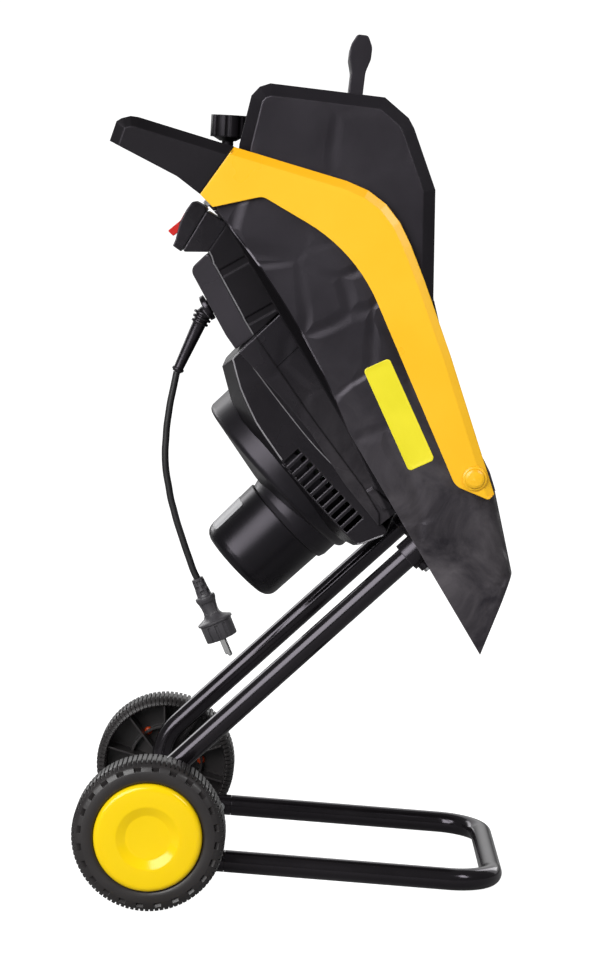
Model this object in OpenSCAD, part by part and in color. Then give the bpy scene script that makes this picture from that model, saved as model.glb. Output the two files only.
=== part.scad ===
// Garden shredder on a two-wheeled tube stand.
// X runs to the right of the machine's side view, Y across it, Z up, and the floor is at Z = 0.
// The head is drawn in the deck's own frame: x down along the deck, z up along the blade shaft.

/* [Stand] */
// Diameter of a wheel
wheel_d = 150; // [130:2:160]
// Width of a wheel
wheel_w = 50; // [36:1:56]
// Diameter of the yellow hub cap
hub_cap_d = 106; // [90:1:112]
// Place of the axle along X
axle_x = -141.6; // [-150:0.2:-135]
// Diameter of the axle
axle_d = 10; // [8:0.5:12]
// Half the distance between the two stand tubes
stand_half = 130; // [120:1:140]
// Outer diameter of the stand tubes
tube_d = 22; // [18:0.5:24]
// Wall of the stand tubes
tube_wall = 1.5; // [1:0.1:2]
// Radius of the leg's bend round the axle
bend_r = 50; // [42:1:56]
// Place of the foot bow's cross tube along X
foot_end_x = 198; // [170:1:205]
// Corner radius of the foot bow
foot_corner_r = 45; // [35:1:60]
// Gap between a leg tube and its wheel
wheel_gap = 9; // [6:0.5:12]
// How deep a leg sits in its socket
socket_depth = 60; // [40:1:64]
// Outer diameter of the leg sockets
socket_d = 30; // [28:0.5:31]

/* [Head] */
// Place of the blade shaft on the deck along X
deck_x = 55.5; // [50:0.5:60]
// Height of the blade shaft on the deck
deck_z = 471.3; // [460:0.1:480]
// Slope of the deck
deck_tilt = 47.5; // [46:0.1:49]
// Wall of the side panels, the tub and the chute
panel_t = 4; // [3:0.1:5]
// Thickness of the yellow side arms
arm_t = 6; // [5:0.1:8]
// Outer radius of the disc tub
tub_r = 112; // [108:1:116]
// Height of the disc tub over the deck
tub_h = 49; // [46:1:51]
// Half the width of the motor cover
cover_half = 108; // [102:1:112]
// Wall of the moulded covers
cover_t = 3; // [2.2:0.1:3.6]

/* [Motor] */
// Diameter of the motor can at its collar
can_d = 98; // [94:1:100]
// Diameter of the gear drum
drum_d = 196; // [190:1:204]
// Module of the gear pair
gear_module = 1.3; // [1.2:0.05:1.35]
// Teeth of the drive gear
gear_teeth = 45; // [42:3:48]
// Teeth of the pinion
pinion_teeth = 15; // [15:1:16]
// Diameter of the blade shaft
shaft_d = 15; // [12:0.5:18]
// Diameter of the armature shaft
rotor_shaft_d = 12; // [10:0.5:13]
// Diameter of the armature core
rotor_d = 48; // [44:1:50]

/* [Cutting] */
// Gap between the blade disc and the tub wall
disc_gap = 8; // [5:0.5:18]
// Thickness of the blade disc
disc_t = 8; // [6:0.5:10]
// Thickness of a knife
knife_t = 4; // [3:0.5:5]

/* [Hopper] */
// Gap between the hopper and a side panel
hopper_gap = 7.6; // [6:0.2:12]
// Wall of the hopper
hopper_t = 3; // [2.2:0.1:3.6]
// Tilt of the hopper's top
hopper_tilt = 7.5; // [6:0.1:9]
// Inside of the feed throat along the machine
throat_x = 44; // [40:1:46]
// Inside of the feed throat across the machine
throat_y = 130; // [110:2:140]
// Length of the funnel mouth
mouth_x = 96; // [84:1:100]
// Width of the funnel mouth
mouth_y = 210; // [190:2:220]
// Depth of the funnel
funnel_depth = 110; // [95:1:120]
// Diameter of the hinge pins
hinge_d = 8; // [6:0.5:10]
// Thickness of the pusher's plate
pusher_t = 14; // [10:0.5:16]
// Length of the pusher's grip
grip_len = 120; // [90:2:150]

/* [Fits] */
// Radial clearance of a running fit
run_clear = 0.1; // [0.05:0.01:0.1]
// Gap between pieces that only lie beside each other
gap = 0.3; // [0.2:0.05:0.4]

/* [Hidden] */
$fn = 48;
eps = 0.01;
black = [0.16, 0.16, 0.17];
satin = [0.22, 0.21, 0.23];
yellow = [1.0, 0.78, 0.08];
steel = [0.72, 0.73, 0.75];

// Stand, worked out from the axle, the bend and the socket in the head
wheel_r = wheel_d / 2;
tube_r = tube_d / 2;
axle_bend_angle = 194.6;
bend_c = [axle_x - bend_r * cos(axle_bend_angle), wheel_r - bend_r * sin(axle_bend_angle)];
wheel_in = stand_half + tube_r + wheel_gap;
wheel_mid = wheel_in + wheel_w / 2;
foot_vec = [bend_c.x - foot_end_x, bend_c.y - tube_r];
foot_tilt = 180 - atan2(foot_vec.y, foot_vec.x) - asin(bend_r / norm(foot_vec));
foot_run = sqrt(norm(foot_vec) * norm(foot_vec) - bend_r * bend_r);
leg_tail = 28;
spigot_len = 22;
crimp_half = 3;
tube_bore = tube_d - 2 * tube_wall;
spigot_d = tube_bore - 0.3;
socket_x = 137.4;
socket_z = -48;
socket_p = to_world(socket_x, socket_z);
leg_vec = socket_p - bend_c;
leg_tilt = atan2(leg_vec.y, leg_vec.x) - asin(bend_r / norm(leg_vec));
leg_free = sqrt(norm(leg_vec) * norm(leg_vec) - bend_r * bend_r);
leg_len = leg_free + socket_depth;
leg_screw_d = 5;
leg_screw_at = 9;
screw_boss_d = 13;

// Head, in the deck frame
panel_in = stand_half + socket_d / 2 + 2 * gap;
panel_out = panel_in + panel_t;
hopper_half = panel_in - hopper_gap;
disc_d = 2 * (tub_r - panel_t - disc_gap);
arm_in = panel_out + gap;
arm_out = arm_in + arm_t;
pivot_x = 122.9;
pivot_z = 54.8;
edge_from = [-240, 50.7];
edge_to = [255, -59.4];
floor_lift = 1;
// Where the motor cover and the skirt end towards the column
cover_from = -121.7;
floor_from = -222;
shaft_x = gear_module * (gear_teeth + pinion_teeth) / 2;
base_z = tub_h + 3;
base_t = 4;
drum_r = drum_d / 2;
drum_bottom = -112;
drum_rim = -98;
drum_flat_r = 18;
drum_top = -60;
drum_edge_r = 6;
can_r = can_d / 2;
can_tip_r = can_r - 1.5;
can_bottom = -189.5;
can_edge_r = 12;
can_bore_r = can_r - 4;
neck_shift = 2.4;
neck_r = can_r + 1.9;
neck_bevel = 6;
collar_z = -120.5;
disc_z = tub_h - 19;
knife_z = disc_z + disc_t;

// Hopper frame: origin on the pusher's axis at the hopper's top
hopper_x = -226.9;
hopper_z = 224.2;
mouth_mid = throat_x / 2 + 2 - mouth_x / 2;
funnel_top = -hopper_t - gap;
funnel_t = 2.5;
duct_end = -(hopper_z - base_z - base_t) / cos(deck_tilt - hopper_tilt);
knob_head = 24;
knob_d = 36;
knob_lean = 3.5;
knob_x = -268.5;
knob_z = 86;

// Cord: hand-chosen points, x and z in the machine's frame, on the middle plane
cord_d = 7.2;
cord_sides = 10;
cord_route = [
    [-116, 514], [-120, 496], [-123, 483], [-125, 471], [-127, 458], [-128, 446], [-129, 434], [-129, 421],
    [-128, 409], [-126, 397], [-124, 384], [-121, 372], [-118, 360], [-114, 347], [-110, 334], [-106, 322],
    [-102, 310], [-98, 301]
];
plug_dir = 68;
gland_x = -173;
gland_z = -27.5;
sleeve_dir = atan2(-0.901, -0.434);

// Plane geometry
function to_world(x, z) = [
    deck_x + x * cos(deck_tilt) + z * sin(deck_tilt),
    deck_z - x * sin(deck_tilt) + z * cos(deck_tilt)
];
function unit(v) = v / norm(v);
function edge_z(x) = edge_from.y + (x - edge_from.x) * (edge_to.y - edge_from.y) / (edge_to.x - edge_from.x);
function wrap(i, n) = (i + n) % n;
// Points of an arc that rounds the corner b between a and c with radius r
function corner_arc(a, b, c, r) =
    r <= 0 ? [b] :
    let (
        steps = r > 40 ? 10 : 5,
        d1 = unit(a - b),
        d2 = unit(c - b),
        half = acos(d1 * d2) / 2,
        mid = b + unit(d1 + d2) * r / sin(half),
        s = b + d1 * r / tan(half) - mid,
        e = b + d2 * r / tan(half) - mid,
        a0 = atan2(s.y, s.x),
        turn = wrap(atan2(e.y, e.x) - a0 + 540, 360) - 180
    )
    [for (i = [0 : steps]) mid + r * [cos(a0 + turn * i / steps), sin(a0 + turn * i / steps)]];
// Outline from corners [x, y, radius]
function rounded(p) = [
    for (i = [0 : len(p) - 1])
        let (
            n = len(p),
            a = p[wrap(i - 1, n)],
            b = p[i],
            c = p[wrap(i + 1, n)]
        )
        each corner_arc([a.x, a.y], [b.x, b.y], [c.x, c.y], b.z)
];
// Corners moved inwards by d, with the corner radii reduced to match; corners run counter-clockwise
function inset(p, d) = [
    for (i = [0 : len(p) - 1])
        let (
            n = len(p),
            a = p[wrap(i - 1, n)],
            b = p[i],
            c = p[wrap(i + 1, n)],
            e1 = unit([b.x - a.x, b.y - a.y]),
            e2 = unit([c.x - b.x, c.y - b.y]),
            n1 = [-e1.y, e1.x],
            n2 = [-e2.y, e2.x],
            v = d * (n1 + n2) / (1 + n1 * n2)
        )
        [b.x + v.x, b.y + v.y, max(b.z - d, 0)]
];
// Involute of a base circle: polar angle at the pressure angle a
function involute(a) = tan(a) * 180 / PI - a;
pressure = 25;
backlash = 0.25;
function gear_outline(teeth, steps = 4) =
    let (
        pitch = gear_module * teeth / 2,
        base = pitch * cos(pressure),
        tip = pitch + 0.9 * gear_module,
        root = pitch - 1.25 * gear_module,
        start = max(base, root),
        half = (PI * gear_module / 2 - backlash) / 2 / pitch * 180 / PI,
        flank = [
            for (i = [0 : steps])
                let (r = start + (tip - start) * i / steps)
                [r, half + involute(pressure) - involute(acos(min(1, base / r)))]
        ],
        side = concat([[root, flank[0].y]], flank),
        last = len(side) - 1
    )
    [
        for (k = [0 : teeth - 1])
            each concat(
                [for (f = side) f.x * [cos(360 * k / teeth - f.y), sin(360 * k / teeth - f.y)]],
                [for (i = [last : -1 : 0])
                    side[i].x * [cos(360 * k / teeth + side[i].y), sin(360 * k / teeth + side[i].y)]]
            )
    ];
// Outline of a ring of count blocks that fill the share duty of each pitch
function tooth_ring(count, r_out, r_in, duty) = [
    for (k = [0 : count - 1])
        for (s = [[r_in, -0.5], [r_in, -duty / 2], [r_out, -duty / 2 + 0.04], [r_out, duty / 2 - 0.04],
                  [r_in, duty / 2]])
            s.x * [cos((k + s.y) * 360 / count), sin((k + s.y) * 360 / count)]
];

// Frames
module deck_frame() translate([deck_x, 0, deck_z]) rotate([0, deck_tilt, 0]) children();
module motor_frame() deck_frame() translate([shaft_x, 0, 0]) children();
module hopper_frame() deck_frame()
    translate([hopper_x, 0, hopper_z]) rotate([0, hopper_tilt - deck_tilt, 0]) children();
module knob_frame() deck_frame()
    translate([knob_x, 0, knob_z]) rotate([0, knob_lean - deck_tilt, 0]) children();
module switch_frame() deck_frame() translate([-254, 0, 10]) rotate([0, -22.4, 0]) children();
module socket_frame(side) translate([socket_p.x, side * stand_half, socket_p.y])
    rotate([0, 90 - leg_tilt, 0]) children();
module both_sides() {
    children();
    mirror([0, 1, 0]) children();
}
// Side-view outline extruded across the machine between y0 and y1
module across(y0, y1) translate([0, y1, 0]) rotate([90, 0, 0]) linear_extrude(y1 - y0) children();
// Cuts a bevel w wide and d deep along the polyline p on the face at y = -y_out; p runs counter-clockwise.
// Every second cut is a little deeper, so that no four faces meet in one point.
bevel_step = 0.1;
module edge_bevel(p, y_out, w, d) for (i = [0 : len(p) - 2]) {
    run = p[i + 1] - p[i];
    deep = d + bevel_step * (i % 2);
    translate([p[i].x, -y_out, p[i].y]) rotate([0, -atan2(run.y, run.x), 0])
        translate([0, 0, w]) rotate([-atan2(w, deep), 0, 0]) translate([-1, -20, -60])
            cube([norm(run) + 2, 80, 60]);
}
module ring(r_out, r_in, h) difference() {
    cylinder(r = r_out, h = h);
    translate([0, 0, -eps]) cylinder(r = r_in, h = h + 2 * eps);
}
module screw(d, head_d, head_h, h) {
    cylinder(d = d, h = h);
    translate([0, 0, h - eps]) cylinder(d = head_d, h = head_h);
}

// Stand
module pipe(d, bore, h) difference() {
    cylinder(d = d, h = h);
    translate([0, 0, -1]) cylinder(d = bore, h = h + 2);
}
module pipe_bend(d, bore, r, turn) rotate_extrude(angle = turn) translate([r, 0]) difference() {
    circle(d = d);
    circle(d = bore);
}
leg_turn = 180 - foot_tilt - leg_tilt;
module bend_frame() translate([bend_c.x, 0, bend_c.y]) rotate([90, 0, 0]) rotate([0, 0, 90 + leg_tilt])
    children();
module leg(side) color(black) difference() {
    translate([0, side * stand_half, 0]) bend_frame() {
        pipe_bend(tube_d, tube_bore, bend_r, leg_turn);
        translate([bend_r, 0, 0]) rotate([90, 0, 0]) pipe(tube_d, tube_bore, leg_len);
        rotate([0, 0, leg_turn]) translate([bend_r, 0, 0]) rotate([-90, 0, 0]) {
            translate([0, 0, crimp_half / 2]) pipe(tube_d, tube_bore, leg_tail - crimp_half / 2);
            // crimp ring that joins the bend and the foot end
            translate([0, 0, -crimp_half]) pipe(tube_d + 1, tube_bore - 1, 2 * crimp_half);
        }
    }
    axle_hole();
    foot_screw_holes();
    socket_frame(side) leg_screw_hole();
}
module leg_right() leg(-1);
module leg_left() leg(1);
module axle_hole() translate([axle_x, -2 * stand_half, wheel_r]) rotate([-90, 0, 0])
    cylinder(d = axle_d + 2 * run_clear, h = 4 * stand_half);
module foot_frame() translate([foot_end_x, 0, tube_r]) rotate([0, foot_tilt, 0]) children();
module foot_side(side, from, d, h) translate([from, side * stand_half, 0]) rotate([0, 90, 0])
    pipe(d, spigot_d - 2 * tube_wall, h);
module foot_bow() color(black) difference() {
    joint_x = -foot_run + leg_tail + gap;
    bow_bore = spigot_d - 2 * tube_wall;
    cross_half = stand_half - foot_corner_r;
    foot_frame() {
        for (side = [-1, 1]) {
            foot_side(side, joint_x - spigot_len, spigot_d, spigot_len);
            foot_side(side, joint_x, tube_d, -foot_corner_r - joint_x);
            translate([-foot_corner_r, side * cross_half, 0]) rotate([0, 0, side > 0 ? 0 : -90])
                pipe_bend(tube_d, bow_bore, foot_corner_r, 90);
        }
        translate([0, cross_half, 0]) rotate([90, 0, 0]) pipe(tube_d, bow_bore, 2 * cross_half);
    }
    foot_screw_holes();
}
module foot_screw_place(side) foot_frame()
    translate([-foot_run + leg_tail - spigot_len / 2, side * (stand_half - tube_r), 0])
        rotate([-side * 90, 0, 0]) children();
module foot_screw_holes() for (side = [-1, 1]) foot_screw_place(side) translate([0, 0, -1])
    cylinder(d = leg_screw_d + 2 * run_clear, h = tube_d / 2);
module foot_screws() color(steel) for (side = [-1, 1]) foot_screw_place(side) mirror([0, 0, 1])
    translate([0, 0, -8]) screw(leg_screw_d, 9, 3, 8 + gap);

// Axle and wheels
module at_axle(side, y) translate([axle_x, side * y, wheel_r]) rotate([-side * 90, 0, 0]) children();
axle_half = wheel_mid + wheel_w / 2 - 6;
nut_h = 5;
module axle() color(steel) at_axle(1, -axle_half) cylinder(d = axle_d, h = 2 * axle_half);
module axle_spacers() color(steel) for (side = [-1, 1]) at_axle(side, stand_half)
    difference() {
        cylinder(d = axle_d + 16, h = tube_r + wheel_gap - gap);
        translate([0, 0, -eps]) cylinder(d = axle_d + 2 * run_clear, h = 2 * wheel_gap + tube_d);
        rotate([side * 90, 0, 0]) translate([-axle_x, -side * stand_half, -wheel_r])
            translate([0, side * stand_half, 0]) bend_frame()
                rotate_extrude(angle = leg_turn) translate([bend_r, 0])
                    circle(d = tube_d + 2 * gap);
    }
module axle_nuts() color(steel) for (side = [-1, 1]) at_axle(side, axle_half - nut_h - 2)
    ring(axle_d / 2 + 4, axle_d / 2 + 0.05, nut_h);

// Wheel about its own z axis, the outer face upwards
hub_r = axle_d / 2 + 9;
web_z = wheel_w / 2 - 16;
web_t = 4;
rim_in = wheel_r - 15;
cap_seat_r = hub_cap_d / 2 + 0.6;
lug_count = 24;
bar_count = 72;
groove = 2;
rib_count = 10;
clip_r = 30;
clip_count = 5;
module wheel_shape() {
    half = wheel_w / 2;
    side_z = half - 2;
    hub_top = axle_half - nut_h - 2 - gap - wheel_mid;
    difference() {
        intersection() {
            rotate_extrude() polygon([
                [rim_in, -side_z], [wheel_r - 12, -half + 1], [wheel_r - 4, -side_z], [wheel_r, -half + 9],
                [wheel_r, half - 9], [wheel_r - 4, side_z], [wheel_r - 12, half - 1],
                [cap_seat_r, side_z], [cap_seat_r, web_z + web_t - eps], [rim_in, web_z + web_t - eps]
            ]);
            translate([0, 0, -half]) linear_extrude(wheel_w)
                polygon(tooth_ring(bar_count, wheel_r + 1, wheel_r - groove, 0.8));
        }
    }
    for (k = [0 : lug_count - 1]) rotate([0, 0, k * 360 / lug_count]) for (s = [-1, 1])
        translate([wheel_r - 9, -4.5, s > 0 ? half - 8 : -half]) cube([8, 9, 8]);
    translate([0, 0, web_z]) difference() {
        cylinder(r = rim_in + 1, h = web_t);
        translate([0, 0, -eps]) cylinder(r = hub_r - 1, h = web_t + 2 * eps);
        for (k = [0 : clip_count - 1]) rotate([0, 0, k * 360 / clip_count]) translate([clip_r, 0, -eps])
            cylinder(r = 5, h = web_t + 2 * eps);
    }
    difference() {
        translate([0, 0, -half]) cylinder(r = hub_r, h = half + hub_top);
        translate([0, 0, -half - eps]) cylinder(d = axle_d + 2 * run_clear, h = wheel_w + eps);
    }
    for (k = [0 : rib_count - 1]) rotate([0, 0, (k + 0.5) * 360 / rib_count])
        translate([hub_r - 1, -1.25, -half + 6]) cube([rim_in - hub_r + 2, 2.5, half - 6 + web_z + eps]);
    translate([0, 0, -2]) ring(40, 37.5, web_z + 2 + eps);
}
module place_wheel(side) at_axle(side, wheel_mid) children();
module wheel_right() color(black) place_wheel(-1) wheel_shape();
module wheel_left() color(black) place_wheel(1) wheel_shape();
module hub_cap_shape() {
    r = hub_cap_d / 2;
    face = wheel_w / 2 + 4;
    seat = web_z + web_t + gap;
    rotate_extrude() polygon(concat(
        [[0, face - 8.5], [0, face - 6], [0.36 * r, face - 6], [0.42 * r, face - 5], [0.56 * r, face - 1],
         [0.62 * r, face]],
        corner_arc([0.62 * r, face], [r, face], [r, seat], 5),
        [[r, face - 12], [r - 2.5, face - 12], [r - 2.5, face - 6], [r - 6, face - 2.5],
         [0.64 * r, face - 2.5], [0.56 * r, face - 4], [0.43 * r, face - 7.5], [0.36 * r, face - 8.5]]
    ));
    for (k = [0 : clip_count - 1]) rotate([0, 0, k * 360 / clip_count]) translate([clip_r, 0, 0]) {
        translate([0, 0, web_z - 3]) cylinder(r = 3.4, h = face - 3 - web_z + 3);
        translate([0, 0, web_z - 3]) cylinder(r1 = 3.4, r2 = 4.6, h = 2.5);
        translate([0, 0, seat]) cylinder(r = 6.4, h = face - 3 - seat);
    }
}
module hub_cap_right() color(yellow) place_wheel(-1) hub_cap_shape();
module hub_cap_left() color(yellow) place_wheel(1) hub_cap_shape();

// Leg sockets in the head
module leg_screw_hole() translate([0, 0, leg_screw_at]) rotate([0, 90, 0])
    cylinder(d = leg_screw_d + 2 * run_clear, h = socket_d);
module leg_socket(side) color(black) socket_frame(side) difference() {
    union() {
        cylinder(d = socket_d, h = socket_depth + 4);
        translate([0, 0, leg_screw_at]) rotate([0, 90, 0]) cylinder(d = screw_boss_d, h = socket_d / 2 + 5);
    }
    translate([0, 0, -eps]) cylinder(d = tube_d + 2 * run_clear, h = socket_depth + gap);
    leg_screw_hole();
}
module leg_socket_right() leg_socket(-1);
module leg_socket_left() leg_socket(1);
module leg_screws() color(steel) for (side = [-1, 1]) socket_frame(side) translate([0, 0, leg_screw_at])
    rotate([0, 90, 0]) translate([0, 0, tube_r - tube_wall - 3])
        screw(leg_screw_d, 9, 3, socket_d / 2 + 5 + gap - tube_r + tube_wall + 3);

// Lower housing: side panels, sloped floor with the disc tub, chute
panel_corners = [
    [edge_from.x, edge_from.y, 0], [edge_to.x, edge_to.y, 0], [219, 17.8, 6], [149, 60, 8],
    [pivot_x + 6, pivot_z + 15, 12], [-12, 112, 40], [-75, 128, 40], [-150, 128, 40], [-222, 101, 20]
];
wall_top = [149, 60];
wall_end = [219, 17.8];
module panel_outline() polygon(rounded(panel_corners));
// Rounded corners between the side panels and the front wall of the chute
wall_r = 22;
wall_from = -3;
wall_run = norm(wall_end - wall_top) + 40;
module wall_frame() translate([wall_top.x, 0, wall_top.y])
    rotate([0, atan2(wall_top.y - wall_end.y, wall_end.x - wall_top.x), 0]) children();
module wall_corner_cut() wall_frame() for (side = [-1, 1])
    translate([wall_from, side > 0 ? panel_out - wall_r : -panel_out - 1, -wall_r])
        cube([wall_run, wall_r + 1, wall_r + 1]);
module wall_corner() intersection() {
    wall_frame() for (side = [-1, 1]) translate([wall_from, side * (panel_out - wall_r), -wall_r])
        rotate([90, 0, 90]) intersection() {
            ring(wall_r, wall_r - panel_t, wall_run);
            translate([side > 0 ? -eps : -wall_r - 1, -eps, -1]) cube([wall_r + 1, wall_r + 1, wall_run + 2]);
        }
    across(-panel_out, panel_out) panel_outline();
}
// Side walls of the housing below the panels, with a raised band along their lower edge
skirt_out = tub_r + 1.5;
skirt_t = 3;
skirt_low = [[cover_from, -31], [-64, -31.4], [-17.5, -33.5], [45.7, -43.9], [98, -47.6]];
band_top = [[88.6, -39], [57.6, -32.4], [30.6, -29.3], [-28.7, -22.4], [-82.5, -14.1], [cover_from, -8.3]];
band_proud = 3;
box_step = -86;
box_proud = 1.5;
tab_proud = 4;
tab_corners = [[64, -33], [65.5, -26.1], [89.6, -22.7], [94, -26], [88, -34]];
module skirt() {
    top = floor_lift + panel_t / 2;
    both_sides() {
        across(-skirt_out, -skirt_out + skirt_t) polygon(concat(skirt_low, [
            [100, edge_z(100) + top], [cover_from, edge_z(cover_from) + top]
        ]));
        across(-skirt_out - band_proud, -skirt_out + eps) polygon(concat(skirt_low, band_top));
        across(-skirt_out - box_proud, -skirt_out + eps) polygon([
            [cover_from, -9], [box_step, -14],
            [box_step, edge_z(box_step) - gap], [cover_from, edge_z(cover_from) - gap]
        ]);
        across(-skirt_out - tab_proud, -skirt_out + eps) polygon(tab_corners);
    }
}
module lower_housing() color(satin) deck_frame() difference() {
    union() {
        difference() {
            union() {
                for (side = [-1, 1]) across(side > 0 ? panel_in : -panel_out, side > 0 ? panel_out : -panel_in)
                    panel_outline();
                // front wall of the chute
                across(-panel_in - eps, panel_in + eps) polygon([
                    wall_top, wall_top + [-2, -panel_t], wall_end + [-3, -panel_t], wall_end
                ]);
            }
            wall_corner_cut();
        }
        wall_corner();
        skirt();
        // sloped floor along the panel's lower edge
        difference() {
            across(-panel_in - eps, panel_in + eps) polygon([
                [floor_from, edge_z(floor_from) + floor_lift],
                [edge_to.x - 14, edge_z(edge_to.x - 14) + floor_lift],
                [edge_to.x - 14, edge_z(edge_to.x - 14) + floor_lift + panel_t],
                [floor_from, edge_z(floor_from) + floor_lift + panel_t]
            ]);
            translate([0, 0, -200]) cylinder(r = tub_r - 1, h = 400);
        }
        // tub with its floor and bearing boss
        translate([0, 0, -30]) ring(tub_r, tub_r - panel_t, tub_h + 30);
        translate([0, 0, -6]) cylinder(r = tub_r - 1, h = 6);
        translate([0, 0, -20]) cylinder(r = shaft_d / 2 + 16, h = 16);
        // cross bar that takes the tip of the lock knob
        translate([floor_from - 16, -panel_in - eps, tub_h - 1.5]) cube([17, 2 * panel_in + 2 * eps, 4.2]);
        // hinge bosses on the panels' inner faces
        for (side = [-1, 1]) translate([pivot_x, side * panel_in, pivot_z]) rotate([side * 90, 0, 0])
            translate([0, 0, -eps]) cylinder(d = hinge_d + 8, h = 4);
    }
    // way from the tub into the chute
    translate([20, -80, 0]) cube([tub_r, 160, tub_h + 1]);
    // bearing seat and shaft hole
    translate([0, 0, -20 - eps]) cylinder(d = bearing_out(shaft_d) + 2 * gap / 3, h = 11 + gap);
    translate([0, 0, -21]) cylinder(d = shaft_d + 4, h = 40);
    for (side = [-1, 1]) {
        translate([pivot_x, 0, pivot_z]) rotate([-side * 90, 0, 0])
            cylinder(d = hinge_d + 0.1, h = panel_out + 1);
        rotate([0, -deck_tilt, 0]) translate([-deck_x, 0, -deck_z]) socket_frame(side) translate([0, 0, -40])
            cylinder(d = socket_d + 2 * gap, h = socket_depth + 60);
        rotate([0, -deck_tilt, 0]) translate([-deck_x, 0, -deck_z]) socket_frame(side)
            translate([0, 0, leg_screw_at]) rotate([0, 90, 0])
                cylinder(d = screw_boss_d + 2 * gap, h = socket_d);
    }
    // pocket of the lock tip
    translate([floor_from - 17, -6.5, tub_h - 9]) cube([13, 13, 20]);
}
function bearing_out(d) = d + 20;

// Motor unit below the deck
cover_corners = [
    [-123, -12, 6], [-123, -40, 10], [-93.4, -55.9, 60], [-59, -67.3, 80], [-10.3, -74.7, 100],
    [29.3, -77.1, 100], [82, -77.5, 20], [98.6, -75.8, 4], [111, -46, 4]
];
cover_crown = [
    [-128, 6, 4], [-128, -52, 10], [-91, -72, 30], [-49, -84, 60], [-10, -89, 60], [44, -90, 60],
    [84, -88, 20], [100, -82, 4], [111, -46, 4], [104, -30, 6]
];
crown_half = 70;
module cover_form(d) intersection() {
    hull() {
        across(-cover_half + d, cover_half - d) polygon(rounded(inset(cover_corners, d)));
        across(-crown_half + d, crown_half - d) polygon(rounded(inset(cover_crown, d)));
    }
    translate([cover_from + d, -200, -200]) cube([400, 400, 400]);
}
vent_count = 11;
vent_pitch = 8.9;
vent_x = -10;
vent_w = 5;
vent_h = 22;
vent_z = -76;
module motor_cover() color(black) deck_frame() difference() {
    cover_form(0);
    cover_form(cover_t);
    translate([0, 0, drum_bottom]) cylinder(r = drum_r + gap, h = 65);
    translate([0, 0, -31]) cylinder(r = tub_r + gap, h = 80);
    for (k = [0 : vent_count - 1]) for (side = [-1, 1])
        translate([vent_x + k * vent_pitch - vent_w / 2, side * cover_half - 8, vent_z])
            cube([vent_w, 16, vent_h]);
}
module gear_drum() color(black) difference() {
    union() {
        deck_frame() rotate_extrude() polygon(concat(
            [[0, drum_bottom], [drum_flat_r, drum_bottom]],
            corner_arc([drum_flat_r, drum_bottom], [drum_r, drum_rim], [drum_r, drum_top], drum_edge_r),
            [[drum_r, drum_top], [0, drum_top]]
        ));
        // neck that the motor can hangs from
        motor_frame() translate([neck_shift, 0, collar_z]) {
            cylinder(r1 = can_r, r2 = neck_r, h = neck_bevel);
            translate([0, 0, neck_bevel - eps]) cylinder(r = neck_r, h = drum_rim + 2 - collar_z - neck_bevel);
        }
    }
    deck_frame() translate([0, 0, drum_rim + cover_t]) cylinder(r = drum_r - cover_t, h = 80);
    motor_frame() translate([0, 0, collar_z - 1]) cylinder(r = can_bore_r, h = 40);
}
module motor_can() color(black) motor_frame() difference() {
    rotate_extrude() polygon(concat(
        [[0, can_bottom]],
        corner_arc([0, can_bottom], [can_tip_r, can_bottom], [can_r, collar_z], can_edge_r),
        [[can_r, collar_z - gap], [0, collar_z - gap]]
    ));
    translate([0, 0, can_bottom + 14]) cylinder(r = can_bore_r, h = 100);
    translate([0, 0, can_bottom + 4]) cylinder(d = bearing_out(8) - 6 + 2 * 0.05, h = 12);
}

// Gear plate, bearings and the motor's fixed parts
plate_z = drum_rim + cover_t + gap;
plate_t = 14;
motor_bearing_h = 8;
module bearing(d_in, d_out, h) color(steel) difference() {
    ring(d_out / 2, d_in / 2 + 0.05, h);
    for (z = [0, h]) translate([0, 0, z]) rotate_extrude() translate([(d_in + d_out) / 4, 0])
        circle(d = (d_out - d_in) / 5);
}
module gear_plate() color(steel) difference() {
    deck_frame() translate([0, 0, plate_z]) cylinder(r = drum_r - cover_t - gap, h = plate_t);
    deck_frame() translate([0, 0, plate_z + plate_t - 10])
        cylinder(d = bearing_out(shaft_d) + 0.1, h = 20);
    motor_frame() translate([0, 0, plate_z + plate_t - motor_bearing_h])
        cylinder(d = bearing_out(rotor_shaft_d) - 6 + 0.1, h = 20);
    motor_frame() translate([0, 0, plate_z - 1]) cylinder(d = rotor_shaft_d + 4, h = 20);
    // air windows
    for (a = [90 : 30 : 270]) deck_frame() rotate([0, 0, a]) translate([62, 0, plate_z - 1])
        cylinder(r = 12, h = plate_t + 2);
}
module shaft_bearings() deck_frame() {
    translate([0, 0, -20]) bearing(shaft_d, bearing_out(shaft_d), 11);
    translate([0, 0, plate_z + plate_t - 10]) bearing(shaft_d, bearing_out(shaft_d), 10);
}
rear_bearing_d = 8;
module motor_bearings() motor_frame() {
    translate([0, 0, plate_z + plate_t - motor_bearing_h])
        bearing(rotor_shaft_d, bearing_out(rotor_shaft_d) - 6, motor_bearing_h);
    translate([0, 0, can_bottom + 4 + gap]) bearing(rear_bearing_d, bearing_out(8) - 6, 7);
}
stator_z = -166;
stator_h = 38;
rotor_gap = 0.6;
module stator() color([0.55, 0.56, 0.58]) motor_frame() translate([0, 0, stator_z]) difference() {
    cylinder(r = can_bore_r - gap / 2, h = stator_h);
    translate([0, 0, -1]) cylinder(r = rotor_d / 2 + rotor_gap, h = stator_h + 2);
    for (a = [0, 180]) rotate([0, 0, a]) intersection() {
        translate([0, 0, -1]) ring(can_bore_r - 8, rotor_d / 2 - 1, stator_h + 2);
        translate([0, -16, -1]) cube([60, 32, stator_h + 2]);
    }
}
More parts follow.
